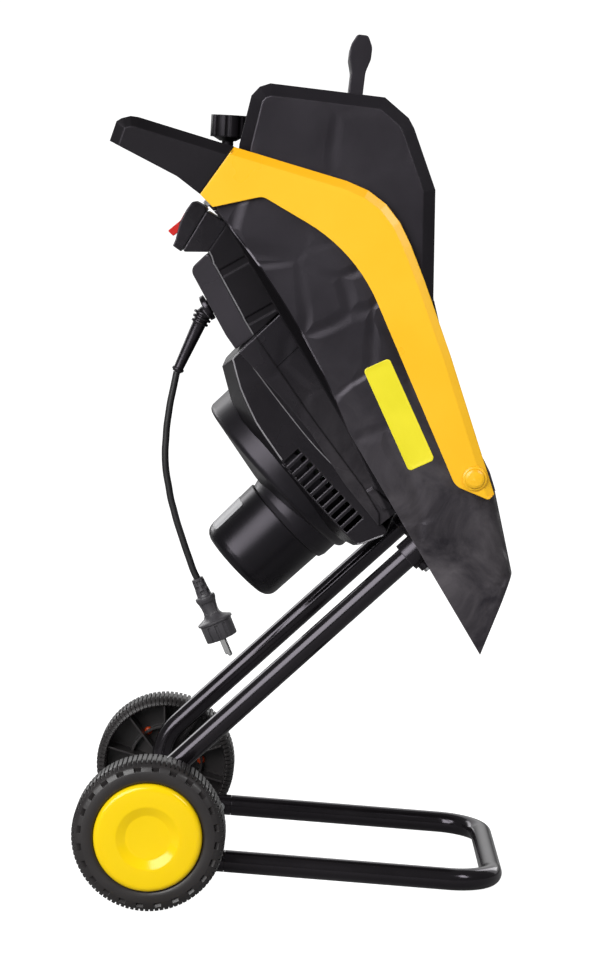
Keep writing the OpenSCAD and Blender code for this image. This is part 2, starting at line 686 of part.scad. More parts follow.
module field_coils() color([0.72, 0.4, 0.2]) motor_frame() for (a = [0, 180]) rotate([0, 0, a])
    intersection() {
        translate([0, 0, stator_z - 4]) ring(can_bore_r - 8.4, rotor_d / 2 + 1.2, stator_h + 8);
        translate([0, -15.6, stator_z - 5]) cube([60, 31.2, stator_h + 10]);
    }
comm_r = 13;
comm_z = can_bottom + 15.2;
module brush_holders() color([0.8, 0.66, 0.3]) motor_frame() for (a = [90, 270]) rotate([0, 0, a])
    translate([comm_r + gap, -5, comm_z]) intersection() {
        cube([can_bore_r, 10, 7]);
        translate([-comm_r - gap, 5, -1]) cylinder(r = can_bore_r - gap, h = 20);
    }

// Turning parts
shaft_bottom = plate_z + plate_t - 10;
gear_z = -72;
gear_h = 12;
module blade_shaft() color(steel) deck_frame() difference() {
    translate([0, 0, shaft_bottom]) cylinder(d = shaft_d, h = disc_z + disc_t - shaft_bottom);
    translate([0, 0, disc_z + disc_t - 22]) cylinder(d = 8, h = 30);
}
module drive_gear() color([0.8, 0.8, 0.76]) deck_frame() translate([0, 0, gear_z]) difference() {
    union() {
        linear_extrude(gear_h) polygon(gear_outline(gear_teeth));
        translate([0, 0, gear_h - eps]) cylinder(r = shaft_d / 2 + 5, h = 8);
    }
    translate([0, 0, -1]) cylinder(d = shaft_d + 0.1, h = gear_h + 20);
    for (a = [0 : 60 : 300]) rotate([0, 0, a]) translate([(gear_module * gear_teeth + shaft_d) / 4, 0, -1])
        cylinder(r = 4, h = gear_h + 2);
}
disc_r = disc_d / 2;
knife_count = 2;
knife_len = 62;
knife_w = 34;
module at_knives() for (k = [0 : knife_count - 1]) rotate([0, 0, k * 360 / knife_count])
    translate([disc_r - knife_len - 4, 0, 0]) children();
module blade_disc() color(steel) deck_frame() difference() {
    union() {
        translate([0, 0, disc_z]) cylinder(r = disc_r, h = disc_t);
        translate([0, 0, disc_z - 8]) cylinder(r = shaft_d / 2 + 8, h = 8 + eps);
        for (k = [0 : 3]) rotate([0, 0, 45 + k * 90]) translate([shaft_d, -3, disc_z - 12])
            cube([disc_r - shaft_d - 4, 6, 12 + eps]);
    }
    translate([0, 0, 0]) cylinder(d = shaft_d + 0.1, h = 60);
    at_knives() translate([0, knife_w / 2 + 1, disc_z - 1]) cube([knife_len, 12, disc_t + 2]);
    at_knives() for (x = [14, knife_len - 14]) translate([x, 0, disc_z - 1])
        cylinder(d = 6 + 2 * run_clear, h = disc_t + 2);
}
module knives() color([0.82, 0.83, 0.85]) deck_frame() at_knives() difference() {
    translate([0, -knife_w / 2, knife_z]) rotate([90, 0, 90]) linear_extrude(knife_len)
        polygon([[0, 0], [knife_w, 0], [knife_w - knife_t, knife_t], [0, knife_t]]);
    for (x = [14, knife_len - 14]) translate([x, 0, knife_z - 1])
        cylinder(d = 6 + 2 * run_clear, h = knife_t + 2);
}
module knife_screws() color(steel) deck_frame() at_knives() for (x = [14, knife_len - 14])
    translate([x, 0, disc_z]) screw(6, 11, 3, disc_t + knife_t + 0.05);
module disc_bolt() color(steel) deck_frame() union() {
        translate([0, 0, disc_z + disc_t - 20]) cylinder(d = 7.9, h = 21);
        translate([0, 0, disc_z + disc_t + 0.05]) cylinder(d = shaft_d + 15, h = 3);
        translate([0, 0, disc_z + disc_t + 3]) cylinder(d = 15, h = 6, $fn = 6);
}
rotor_bottom = can_bottom + 4 + gap;
module armature_shaft() color(steel) motor_frame() {
    translate([0, 0, rotor_bottom]) cylinder(d = rear_bearing_d, h = 9);
    translate([0, 0, rotor_bottom + 7 + gap]) cylinder(d = rotor_shaft_d, h = -56 - rotor_bottom - 7 - gap);
}
module armature_core() color([0.5, 0.5, 0.52]) motor_frame() translate([0, 0, stator_z]) difference() {
    cylinder(d = rotor_d, h = stator_h);
    translate([0, 0, -1]) cylinder(d = rotor_shaft_d + 0.1, h = stator_h + 2);
    for (k = [0 : 11]) rotate([0, 0, k * 30]) translate([rotor_d / 2 - 7, -1.5, -1])
        cube([10, 3, stator_h + 2]);
}
module commutator() color([0.75, 0.45, 0.25]) motor_frame() translate([0, 0, comm_z - 1])
    ring(comm_r, rotor_shaft_d / 2 + 0.05, 9);
fan_z = -116;
module cooling_fan() color([0.9, 0.9, 0.88]) motor_frame() translate([0, 0, fan_z]) difference() {
    union() {
        cylinder(r = can_bore_r - 4, h = 3);
        cylinder(r = rotor_shaft_d / 2 + 6, h = 16);
        for (k = [0 : 8]) rotate([0, 0, k * 40]) translate([rotor_shaft_d / 2 + 3, -1.2, 0.5])
            cube([can_bore_r - 8 - rotor_shaft_d / 2, 2.4, 13]);
    }
    translate([0, 0, -1]) cylinder(d = rotor_shaft_d + 0.1, h = 40);
}
module pinion() color(steel) motor_frame() translate([0, 0, gear_z - 2]) difference() {
    linear_extrude(gear_h + 4) polygon(gear_outline(pinion_teeth));
    translate([0, 0, -1]) cylinder(d = rotor_shaft_d + 0.1, h = gear_h + 10);
}

// Switch column
column_half = 52;
cover_front_half = 40;
column_to = cover_from - gap;
column_corners = [
    [-213.9, 11, 0], [-198, 6.5, 0], [-145, -7.5, 0], [column_to, -12.6, 0],
    [column_to, edge_z(column_to) + floor_lift - gap, 0], [floor_from, edge_z(floor_from) + floor_lift - gap, 0]
];
front_corners = [
    [-214, -14, 9], [-141.5, -33, 4], [-124, -35.5, 2], [column_to, -12.9, 0], [-145, -7.8, 0], [-198, 6.2, 0],
    [-214, 10.7, 3]
];
module switch_housing() color(black) deck_frame() difference() {
    across(-column_half, column_half) polygon(rounded(column_corners));
    across(-column_half + cover_t, column_half - cover_t) polygon(rounded(inset(column_corners, cover_t)));
    translate([0, 0, -40]) cylinder(r = tub_r + gap, h = 120);
    for (y = [-column_half, column_half]) for (x = [-196, -140]) translate([x, y, -20]) rotate([0, 14, 0])
        translate([-4, -1.5, -40]) cube([8, 3, 120]);
}
module front_cover() color([0.36, 0.35, 0.37]) difference() {
    deck_frame() difference() {
        intersection() {
            across(-column_half, column_half) polygon(rounded(front_corners));
            rotate([0, 14.5, 0]) translate([-300, 0, 0]) rotate([90, 0, 90]) linear_extrude(300)
                polygon([
                    [-column_half, -40], [-cover_front_half, -84], [cover_front_half, -84],
                    [column_half, -40], [column_half, 40], [-column_half, 40]
                ]);
        }
        across(-cover_front_half + cover_t, cover_front_half - cover_t)
            polygon(rounded(inset(front_corners, cover_t)));
    }
    gland_frame() translate([0, 0, -20]) cylinder(d = gland_d + 2 * gap, h = 40);
}
switch_half = 34;
base_corners = [[-245.2, 37.6, 2], [-232.2, -8.4, 2], [-214.2, 10.6, 0], [-221.8, 44, 2]];
cap_corners = [
    [-249.9, 39.4, 2], [-262, 35, 4], [-260, 24, 30], [-255, 10, 30], [-245.5, -5, 20], [-243, -11, 1],
    [-233, -9, 1], [-245.8, 38.3, 1]
];
rocker_well = 34;
rocker_half = 11;
module switch_base() color(black) deck_frame() across(-switch_half, switch_half)
    polygon(rounded(base_corners));
module switch_cap() color(black) {
    difference() {
        deck_frame() across(-switch_half, switch_half) polygon(rounded(cap_corners));
        switch_frame() translate([-14, -rocker_half - 0.8, -rocker_well / 2 - 2])
            cube([19, 2 * rocker_half + 1.6, rocker_well + 4]);
    }
    switch_frame() translate([rocker_axis, -rocker_half - 2, 0]) rotate([-90, 0, 0])
        cylinder(d = rocker_pin_d, h = 2 * rocker_half + 4);
}
rocker_axis = -0.5;
rocker_pin_d = 3;
module rocker() color([0.85, 0.08, 0.06]) switch_frame() difference() {
    across(-rocker_half, rocker_half) polygon(rounded([
        [-1, 15, 1], [-2, 2, 4], [-9.5, -13, 1.5], [-2, -15.5, 1], [3, -3, 2], [3, 3, 2]
    ]));
    translate([rocker_axis, -20, 0]) rotate([-90, 0, 0]) cylinder(d = rocker_pin_d + 2 * run_clear, h = 40);
}
module safety_switch() color([0.3, 0.3, 0.34]) deck_frame() translate([-211.9, -10, 17]) cube([26, 20, 12]);

// Cord
module gland_frame() deck_frame() translate([gland_x, 0, gland_z]) rotate([0, 193.6, 0]) children();
sleeve_len = 67;
gland_d = 15;
sleeve_start = cord_route[0] - sleeve_len * [cos(sleeve_dir), sin(sleeve_dir)];
module cable_gland() color(black) {
    gland_frame() translate([0, 0, gap]) cylinder(d = 27, h = 5);
    gland_frame() translate([0, 0, -8]) cylinder(d = gland_d, h = 14);
    translate([sleeve_start.x, 0, sleeve_start.y]) rotate([0, 90 - sleeve_dir, 0]) {
        sphere(d = gland_d - 1);
        for (k = [0 : 2]) translate([0, 0, 1 + 4.5 * k]) cylinder(d = 21 - 1.5 * k, h = 2.4);
        cylinder(d1 = gland_d + 1, d2 = 10, h = sleeve_len - 0.02);
        translate([0, 0, sleeve_len - 4]) cylinder(d = 12.5, h = 2.5);
    }
}
function route_dir(i) = let (n = len(cord_route) - 1)
    i == 0 ? [cos(sleeve_dir), sin(sleeve_dir)] :
    i == n ? [cos(plug_dir), -sin(plug_dir)] :
    unit(cord_route[i + 1] - cord_route[i - 1]);
function ring_points(i) = let (t = route_dir(i), c = cord_route[i])
    [for (k = [0 : cord_sides - 1])
        let (a = 360 * k / cord_sides, s = cord_d / 2 * cos(a))
        [c.x - t.y * s, cord_d / 2 * sin(a), c.y + t.x * s]];
module power_cord() {
    n = len(cord_route);
    s = cord_sides;
    points = [for (i = [0 : n - 1]) each ring_points(i)];
    sides = [for (i = [0 : n - 2]) for (k = [0 : s - 1])
        each [
            [i * s + k, (i + 1) * s + k, i * s + (k + 1) % s],
            [i * s + (k + 1) % s, (i + 1) * s + k, (i + 1) * s + (k + 1) % s]
        ]];
    ends = concat(
        [for (k = [1 : s - 2]) [0, k, k + 1]],
        [for (k = [1 : s - 2]) [(n - 1) * s, (n - 1) * s + k + 1, (n - 1) * s + k]]
    );
    color(black) polyhedron(points, concat(sides, ends));
}
plug_end = cord_route[len(cord_route) - 1];
plug_len = 67;
pin_len = 19;
pin_d = 4.8;
pin_root_d = 4;
pin_root = 0.5;
pin_pitch = 19;
pin_turn = 78;
module plug_frame() translate([plug_end.x, 0, plug_end.y]) rotate([0, 90 + plug_dir, 0]) children();
module plug_body() color(black) plug_frame() difference() {
    rotate_extrude() polygon([
        [0, 0], [6, 0], [8.5, 22], [10.5, 22], [11, 26.5], [9, 30], [9, 35], [12, 40], [19.5, 45.5],
        [19.5, 49.5], [17.5, 50], [17, plug_len], [0, plug_len]
    ]);
    for (s = [-1, 1]) rotate([0, 0, pin_turn]) translate([s * pin_pitch / 2, 0, plug_len - 15])
        cylinder(d = pin_root_d + 0.1, h = 20);
    for (k = [0 : 1]) translate([0, 0, 6 + 8 * k]) ring(12, 7.2 + 0.4 * k, 3);
}
module plug_pins() color(steel) plug_frame() for (s = [-1, 1]) rotate([0, 0, pin_turn])
    translate([s * pin_pitch / 2, 0, plug_len]) {
        translate([0, 0, -14]) cylinder(d = pin_root_d, h = 14 + pin_root + eps);
        translate([0, 0, pin_root]) cylinder(d = pin_d, h = pin_len - pin_root - 1.5);
        translate([0, 0, pin_len - 1.5]) cylinder(d1 = pin_d, d2 = pin_d - 2, h = 1.5);
    }

// Hinge and hopper
module hinge_pins() color(steel) deck_frame() both_sides() translate([pivot_x, -panel_in + 5, pivot_z])
    rotate([90, 0, 0]) cylinder(d = hinge_d, h = arm_t + panel_t + gap + 3);
module throat_cut() hopper_frame() translate([-throat_x / 2, -throat_y / 2, duct_end - 100])
    cube([throat_x, throat_y, 200]);
base_end = 106;
base_start = -250;
module hopper_base() color(satin) difference() {
    union() {
        deck_frame() translate([base_start, -hopper_half, base_z])
            cube([base_end - base_start, 2 * hopper_half, base_t]);
        // lock block with the insert, leaning with the knob
        intersection() {
            knob_frame() translate([-14, -20, -60]) cube([23, 40, 46]);
            deck_frame() translate([-400, -100, base_z]) cube([400, 200, 200]);
        }
    }
    throat_cut();
    knob_frame() translate([0, 0, -70]) cylinder(d = 12, h = 80);
    knob_frame() translate([0, 0, -30]) cylinder(d = 16 + 0.1, h = 40);
}
// Side outline in the hopper frame, counter-clockwise
hopper_corners = [
    [-107, -62, 0], [-107, -152, 0], [136, -356, 0], [150.7, -338, 4], [134.8, -285.7, 30], [98.8, -188, 30],
    [87.4, -82.5, 0], [59.5, -26, 0], [53, -16.9, 0], [27.8, 0, 0], [-84, 0, 0], [-94, -4.5, 0], [-101, -14, 0]
];
// The bevel runs from corner 5 over the top to corner 1
bevel = 12;
function hopper_edge(d) = let (c = inset(hopper_corners, d)) [
    for (i = [5 : 14]) let (q = c[wrap(i, len(c))]) [q.x, q.y]
];
module hopper_form(d) intersection() {
    hopper_frame() difference() {
        across(-hopper_half + d, hopper_half - d) polygon(rounded(inset(hopper_corners, d)));
        both_sides() edge_bevel(hopper_edge(d), hopper_half - d,
            bevel - (2 - sqrt(2)) * d, bevel - (2 - sqrt(2)) * d);
    }
    deck_frame() translate([-400, -300, base_z + base_t + (d > 0 ? -10 : gap)]) cube([800, 600, 600]);
}
// Hollow in the hopper's back wall that leaves room for the lock knob
module knob_recess(grow) knob_frame() translate([0, 0, knob_head - 5 - grow / 2])
    cylinder(d = knob_d + 2 + grow, h = 60);
module hopper() color(satin) difference() {
    hopper_form(0);
    difference() {
        hopper_form(hopper_t);
        knob_recess(2 * hopper_t);
    }
    knob_recess(0);
    hopper_frame() translate([mouth_mid - mouth_x / 2, -mouth_y / 2, -20]) cube([mouth_x, mouth_y, 40]);
    deck_frame() for (p = arm_screw_at) translate([p.x, -2 * hopper_half, p.y]) rotate([-90, 0, 0])
        cylinder(d = 4 + 2 * run_clear, h = 4 * hopper_half);
}
module funnel_form(d, up, down) hopper_frame() {
    hull() {
        translate([mouth_mid - mouth_x / 2 - d, -mouth_y / 2 - d, funnel_top - eps + up])
            cube([mouth_x + 2 * d, mouth_y + 2 * d, eps]);
        translate([-throat_x / 2 - d, -throat_y / 2 - d, funnel_top - funnel_depth])
            cube([throat_x + 2 * d, throat_y + 2 * d, eps]);
    }
    translate([-throat_x / 2 - d, -throat_y / 2 - d, duct_end - 60 - down])
        cube([throat_x + 2 * d, throat_y + 2 * d, 60 + down - duct_end - funnel_depth + funnel_top + eps]);
}
module feed_funnel() color(black) difference() {
    union() {
        intersection() {
            funnel_form(funnel_t, 0, 0);
            deck_frame() translate([-400, -300, base_z + base_t + gap]) cube([800, 600, 600]);
        }
        hopper_frame() translate([mouth_mid - mouth_x / 2 - 10, -mouth_y / 2 - 10, funnel_top - 2])
            cube([mouth_x + 10, mouth_y + 20, 2]);
    }
    funnel_form(0, 0.5, 1);
}
module counter_blade() color([0.6, 0.61, 0.63]) deck_frame() translate([-40, -60, base_z - 5])
    cube([14, 120, 5 - gap]);
arm_corners = [
    [-259.3, 48, 0], [-242, 48.5, 0], [-216.5, 90.8, 12], [-117, 120, 165], [115.5, 36, 16], [147.6, 50.5, 3],
    [147.6, 58.2, 0], [20, 118.6, 0], [-50, 149.2, 0], [-86, 163.5, 0], [-108, 170.3, 0], [-130, 172.5, 0],
    [-151, 169, 0], [-172, 160, 0], [-270, 103, 0]
];
// The upper edge of the arm, which is bevelled, runs from corner 6 to corner 14
arm_edge = [for (i = [6 : 14]) [arm_corners[i].x, arm_corners[i].y]];
// Hollow in its inner face
arm_pocket = [
    [-251, 57.5, 0], [-247.5, 57.5, 0], [-222, 99, 8], [-117, 129.8, 150], [98, 52, 4], [92, 73.5, 4],
    [-88, 153.5, 0], [-129, 163.3, 0], [-167.5, 151, 0], [-259, 98, 4]
];
arm_bevel_w = 8;
arm_bevel_d = 4;
arm_screw_at = [[-228, 112], [-140, 148], [-45, 134]];
module arm_plate() difference() {
    across(-arm_out, -arm_in) polygon(rounded(arm_corners));
    across(-arm_out + 2.5, -arm_in + 1) polygon(rounded(arm_pocket));
    edge_bevel(arm_edge, arm_out, arm_bevel_w, arm_bevel_d);
    translate([pivot_x, -arm_in + 1, pivot_z]) rotate([90, 0, 0])
        cylinder(d = hinge_d + 2 * run_clear, h = 2 * arm_t);
}
module arm_bosses() for (p = arm_screw_at) translate([p.x, -hopper_half - gap, p.y]) rotate([90, 0, 0])
    ring(6, 2.2, arm_out - hopper_half - gap - 2);
module arm_hub() translate([pivot_x, -arm_in, pivot_z]) rotate([90, 0, 0])
    ring(hinge_d / 2 + 5, hinge_d / 2 + run_clear, arm_t);
module side_arm() color(yellow) {
    arm_plate();
    arm_bosses();
    arm_hub();
}
module side_arm_right() deck_frame() side_arm();
module side_arm_left() deck_frame() mirror([0, 1, 0]) side_arm();
module arm_screws() color(steel) deck_frame() both_sides() for (p = arm_screw_at)
    translate([p.x, -hopper_half + hopper_t + gap + 2, p.y]) rotate([90, 0, 0]) {
        cylinder(d = 8, h = 2);
        cylinder(d = 4, h = 12);
    }
handle_corners = [
    [-356, 19.4, 0], [-287, 43.6, 30], [-259.7, 48, 0], [-270.4, 103, 0], [-353.5, 55.3, 0], [-359.5, 50.5, 0],
    [-364, 42.5, 0], [-365.2, 37, 0]
];
// Its top and end, which are bevelled, run from corner 3 round to the first
handle_edge = [for (i = [3 : 8]) let (c = handle_corners[wrap(i, len(handle_corners))]) [c.x, c.y]];
handle_bevel_w = 10;
handle_bevel_d = 6;
tongue_corners = [[-270, 58], [-248, 62], [-248, 92], [-272, 92]];
handle_in = 108;
grip_x = -330;
module handle_bevel() edge_bevel(handle_edge, arm_out, handle_bevel_w, handle_bevel_d);
module carry_handle() color(satin) deck_frame() {
    both_sides() difference() {
        across(-arm_out, -handle_in) polygon(rounded(handle_corners));
        handle_bevel();
    }
    // tongues that reach in behind the side arms
    both_sides() across(-arm_in + gap, -hopper_half - gap) polygon(tongue_corners);
    difference() {
        intersection() {
            across(-arm_out, arm_out) polygon(rounded(handle_corners));
            translate([-400, -arm_out, -100]) cube([400 + grip_x, 2 * arm_out, 300]);
        }
        both_sides() handle_bevel();
    }
}
module pivot_caps() color(yellow) deck_frame() both_sides() translate([pivot_x, -arm_out - gap, pivot_z])
    rotate([90, 0, 0]) rotate_extrude()
        polygon([[0, 0], [12, 0], [12, 1.2], [9.8, 1.8], [9.4, 3], [7, 4.2], [0, 5]]);
module lock_insert() color([0.8, 0.66, 0.3]) knob_frame() translate([0, 0, -28]) ring(8, 6 + run_clear, 14);
module lock_knob() color(black) knob_frame() difference() {
    union() {
        translate([0, 0, -54]) cylinder(d = 8, h = 10);
        translate([0, 0, -46]) cylinder(d = 12 - 0.2, h = knob_head + 50);
        translate([0, 0, knob_head]) cylinder(d = knob_d, h = 22);
        translate([0, 0, knob_head - 4]) cylinder(d1 = 16, d2 = 30, h = 4 + eps);
    }
    for (k = [0 : 7]) rotate([0, 0, k * 45]) translate([20.5, 0, knob_head - 1]) cylinder(d = 8, h = 30);
}
stop_z = -60;
foot_z = funnel_top - funnel_depth - 62;
function funnel_half(z) = mouth_y / 2 + (throat_y - mouth_y) / 2 * (funnel_top - z) / funnel_depth;
module pusher() color(black) hopper_frame() {
    half = grip_len / 2;
    across(-half, half) polygon(rounded([
        [-7, -4, 0], [7, -4, 0], [7, 24, 20], [10.8, 37, 12], [10.8, 49, 14],
        [5.4, 60, 4], [-5.4, 60, 4], [-10.8, 49, 14], [-10.8, 37, 12], [-7, 24, 20]
    ]));
    translate([-pusher_t / 2, -half + 5, foot_z + 2]) cube([pusher_t, grip_len - 10, 4 - foot_z]);
    translate([-pusher_t / 2, -funnel_half(stop_z) + gap, stop_z])
        cube([pusher_t, 2 * funnel_half(stop_z) - 2 * gap, 12]);
    translate([-throat_x / 2 + 3, -throat_y / 2 + 4, foot_z]) cube([throat_x - 6, throat_y - 8, 10]);
}

leg_right();
leg_left();
foot_bow();
foot_screws();
axle();
axle_spacers();
axle_nuts();
wheel_right();
wheel_left();
hub_cap_right();
hub_cap_left();
leg_socket_right();
leg_socket_left();
leg_screws();
lower_housing();
motor_cover();
gear_drum();
motor_can();
switch_housing();
front_cover();
switch_base();
switch_cap();
rocker();
safety_switch();
cable_gland();
power_cord();
plug_body();
plug_pins();
gear_plate();
shaft_bearings();
motor_bearings();
stator();
field_coils();
brush_holders();
blade_shaft();
drive_gear();
blade_disc();
knives();
knife_screws();
disc_bolt();
armature_shaft();
armature_core();
commutator();
cooling_fan();
pinion();
hinge_pins();
hopper_base();
hopper();
feed_funnel();
counter_blade();
side_arm_right();
side_arm_left();
carry_handle();
pivot_caps();
arm_screws();
lock_insert();
lock_knob();
pusher();
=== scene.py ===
# %% [markdown]
# # A garden shredder, dressed for its portrait
# The CAD model gives every solid its place. This lesson loads it as a fixed frame and then does what Blender
# is good at: finishes, soft edges, and the few shapes that read better as worked-out surfaces.
# All sizes are metres, the floor is at Z = 0, and the camera looks along +Y.

# %% Load the frame
import math

import bmesh
import bpy
import numpy as np
from mathutils import Matrix, Vector


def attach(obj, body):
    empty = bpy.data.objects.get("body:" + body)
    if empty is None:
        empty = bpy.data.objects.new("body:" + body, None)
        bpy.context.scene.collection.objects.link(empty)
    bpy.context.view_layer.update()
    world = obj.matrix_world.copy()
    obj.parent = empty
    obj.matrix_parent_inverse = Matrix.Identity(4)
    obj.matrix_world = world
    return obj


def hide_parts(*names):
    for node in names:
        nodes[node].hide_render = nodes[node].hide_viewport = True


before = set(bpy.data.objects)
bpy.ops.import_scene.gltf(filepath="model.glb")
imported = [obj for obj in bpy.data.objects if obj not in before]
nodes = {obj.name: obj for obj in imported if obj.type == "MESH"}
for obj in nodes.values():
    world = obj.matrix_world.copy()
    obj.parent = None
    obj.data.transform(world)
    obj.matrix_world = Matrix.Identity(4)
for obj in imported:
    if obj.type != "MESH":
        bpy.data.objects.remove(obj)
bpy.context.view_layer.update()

# %% [markdown]
# ## The camera
# The photograph was taken from about three metres with a long lens, from above the machine's middle and
# tilted down by six degrees. A long lens keeps the sides nearly parallel, so both wheels look much the same
# size. The lens is worked out from the focal length in pixels, because Blender measures a portrait picture's
# sensor along its height.

# %% Camera
IMAGE_HEIGHT = 970
FOCAL_PIXELS = 2929.8
SENSOR_MM = 36.0
CAMERA_PLACE = (0.019, -2.98618, 0.71207)
PAN, TILT, ROLL = (math.radians(a) for a in (0.247, 83.968, -0.541))
camera_data = bpy.data.cameras.new("photo_camera")
camera_data.sensor_width = SENSOR_MM
camera_data.lens = SENSOR_MM * FOCAL_PIXELS / IMAGE_HEIGHT
camera = bpy.data.objects.new("photo_camera", camera_data)
bpy.context.scene.collection.objects.link(camera)
camera.matrix_world = (
    Matrix.Translation(CAMERA_PLACE)
    @ Matrix.Rotation(PAN, 4, "Z")
    @ Matrix.Rotation(TILT, 4, "X")
    @ Matrix.Rotation(ROLL, 4, "Z")
)
bpy.context.scene.camera = camera
print("lens", round(camera_data.lens, 2), "mm")

# %% [markdown]
# ## From arrays to meshes
# Every new piece below is a grid of points. The first array axis runs along one parameter of the shape and
# the second along the other. One helper turns such a grid into quads, closing it round on itself where asked,
# so no piece needs a loop over its vertices. Where a closed shape ends in a pole, its doubles are merged.

# %% Grid helper
HOME = "stand_and_housing"
MERGE_GAP = 1e-6


def grid_quads(rows, cols, close_rows=False, close_cols=False):
    """Quad corners of a rows x cols grid: a cell joins two points of a row to the two in the next row."""
    r = np.arange(rows if close_rows else rows - 1)[:, None]
    c = np.arange(cols if close_cols else cols - 1)[None, :]
    r2, c2 = (r + 1) % rows, (c + 1) % cols
    quads = np.stack([r * cols + c, r * cols + c2, r2 * cols + c2, r2 * cols + c], axis=-1)
    return quads.reshape(-1, 4)


def add_piece(name, points, quads, body, slot, sharp=40):
    """A mesh from points and quads: doubles merged, faces outward, edges over sharp degrees kept hard.

    It rides on a CAD body. The slot argument is not used.
    """
    mesh = bpy.data.meshes.new(name)
    mesh.from_pydata(points.reshape(-1, 3).tolist(), [], quads.tolist())
    work = bmesh.new()
    work.from_mesh(mesh)
    bmesh.ops.remove_doubles(work, verts=work.verts, dist=MERGE_GAP)
    bmesh.ops.recalc_face_normals(work, faces=work.faces)
    work.to_mesh(mesh)
    work.free()
    mesh.polygons.foreach_set("use_smooth", np.ones(len(mesh.polygons), bool))
    mesh.set_sharp_from_angle(angle=math.radians(sharp))
    piece = bpy.data.objects.new(name, mesh)
    bpy.context.scene.collection.objects.link(piece)
    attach(piece, body)
    return piece


print("grid of 3 x 4 points has", len(grid_quads(3, 4)), "quads")

# %% [markdown]
# ## The short mains lead
# The real lead is a round rubber cable about 7 mm thick that leaves the gland, hangs in one easy curve and
# ends in its plug. It could be a Blender curve with a bevel. Here it is a circle carried along a smooth path,
# so that the same function can sweep the thin lips of the housing later. The route repeats the CAD points.

# %% Lead
ROUTE_MM = np.array([
    [-116, 514], [-120, 496], [-123, 483], [-125, 471], [-127, 458], [-128, 446], [-129, 434], [-129, 421],
    [-128, 409], [-126, 397], [-124, 384], [-121, 372], [-118, 360], [-114, 347], [-110, 334], [-106, 322],
    [-102, 310], [-98, 301],
], float)
CORD_D = 0.0072


def smooth_path(points, per_span=8):
    """A curve through the points: each span is a cubic that blends its two ends and their neighbours."""
    p = np.vstack([2 * points[0] - points[1], points, 2 * points[-1] - points[-2]])
    t = np.linspace(0, 1, per_span, endpoint=False)[None, :, None]
    a, b, c, d = p[:-3, None], p[1:-2, None], p[2:-1, None], p[3:, None]
    curve = 0.5 * (2 * b + (c - a) * t + (2 * a - 5 * b + 4 * c - d) * t**2 + (3 * b - a - 3 * c + d) * t**3)
    return np.vstack([curve.reshape(-1, points.shape[1]), points[-1]])


def even_turn(steps):
    """Angles at even steps of one full turn, without the last, which is the first again."""
    return np.linspace(0, 2 * np.pi, steps, endpoint=False)


def sweep_round(path, radius, sides=24):
    """A circle carried along a path of constant Y: centre + radius * (cos * side + sin * across)."""
    step = np.gradient(path, axis=0)
    step /= np.linalg.norm(step, axis=1, keepdims=True)
    side = np.stack([-step[:, 2], np.zeros(len(step)), step[:, 0]], axis=1)
    across = np.array([0.0, 1.0, 0.0])
    turn = even_turn(sides)[None, :, None]
    r = np.broadcast_to(radius, len(path))[:, None, None]
    return path[:, None, :] + r * (np.cos(turn) * side[:, None, :] + np.sin(turn) * across)


def closed_sweep(path, radius, sides=24):
    """The swept circle with a pole added at each end, so that the tube is closed, and its quads."""
    tube = sweep_round(path, radius, sides)
    first_pole, last_pole = (np.broadcast_to(path[end], (1, *tube.shape[1:])) for end in (0, -1))
    points = np.concatenate([first_pole, tube, last_pole])
    return points, grid_quads(*points.shape[:2], close_cols=True)


route = smooth_path(ROUTE_MM) / 1000
cord_path = np.stack([route[:, 0], np.zeros(len(route)), route[:, 1]], axis=1)
lead = add_piece("lead", *closed_sweep(cord_path, CORD_D / 2), HOME, "cord_rubber")
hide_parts("power_cord")

# %% [markdown]
# ## Shader tools
# Every material and the studio are wired from the same few nodes, so each of these gets a short helper. An
# effect that several finishes share is a node group, built once. The shader itself stays in every material,
# so that its fixed numbers sit on its own sockets.

# %% Shader helpers
def shader_node(tree, kind, inputs=None, **settings):
    """A new node; inputs are values or other nodes' sockets, settings are the node's own choices."""
    made = tree.nodes.new("ShaderNode" + kind)
    for key, value in settings.items():
        setattr(made, key, value)
    for key, value in (inputs or {}).items():
        if isinstance(value, bpy.types.NodeSocket):
            tree.links.new(value, made.inputs[key])
        else:
            made.inputs[key].default_value = value
    return made


def object_place(tree):
    """The place on a piece, in metres of the machine's own frame."""
    return shader_node(tree, "TexCoord").outputs["Object"]


def noise(tree, place, scale, detail=2.0):
    """Clouds of values round one half; a larger scale makes them finer."""
    return shader_node(tree, "TexNoise", {"Vector": place, "Scale": scale, "Detail": detail}).outputs["Fac"]


def ramp(tree, value, start, end, **settings):
    """0 to 1 as the value goes from start to end, and held there beyond them."""
    span = {"Value": value, "From Min": start, "From Max": end}
    return shader_node(tree, "MapRange", span, **settings).outputs["Result"]


def arithmetic(tree, operation, first, second=0.0):
    """One sum on two values."""
    return shader_node(tree, "Math", {0: first, 1: second}, operation=operation).outputs[0]


def dot_product(tree, first, second):
    """The dot product of two vectors."""
    return shader_node(tree, "VectorMath", {0: first, 1: second}, operation="DOT_PRODUCT").outputs["Value"]


def mix_values(tree, share, first, second):
    """first * (1 - share) + second * share, for plain values."""
    return shader_node(tree, "Mix", {"Factor": share, 2: first, 3: second}).outputs[0]


def mix_colours(tree, share, first, second):
    """first * (1 - share) + second * share, for colours."""
    return shader_node(tree, "Mix", {"Factor": share, 6: first, 7: second}, data_type="RGBA").outputs[2]


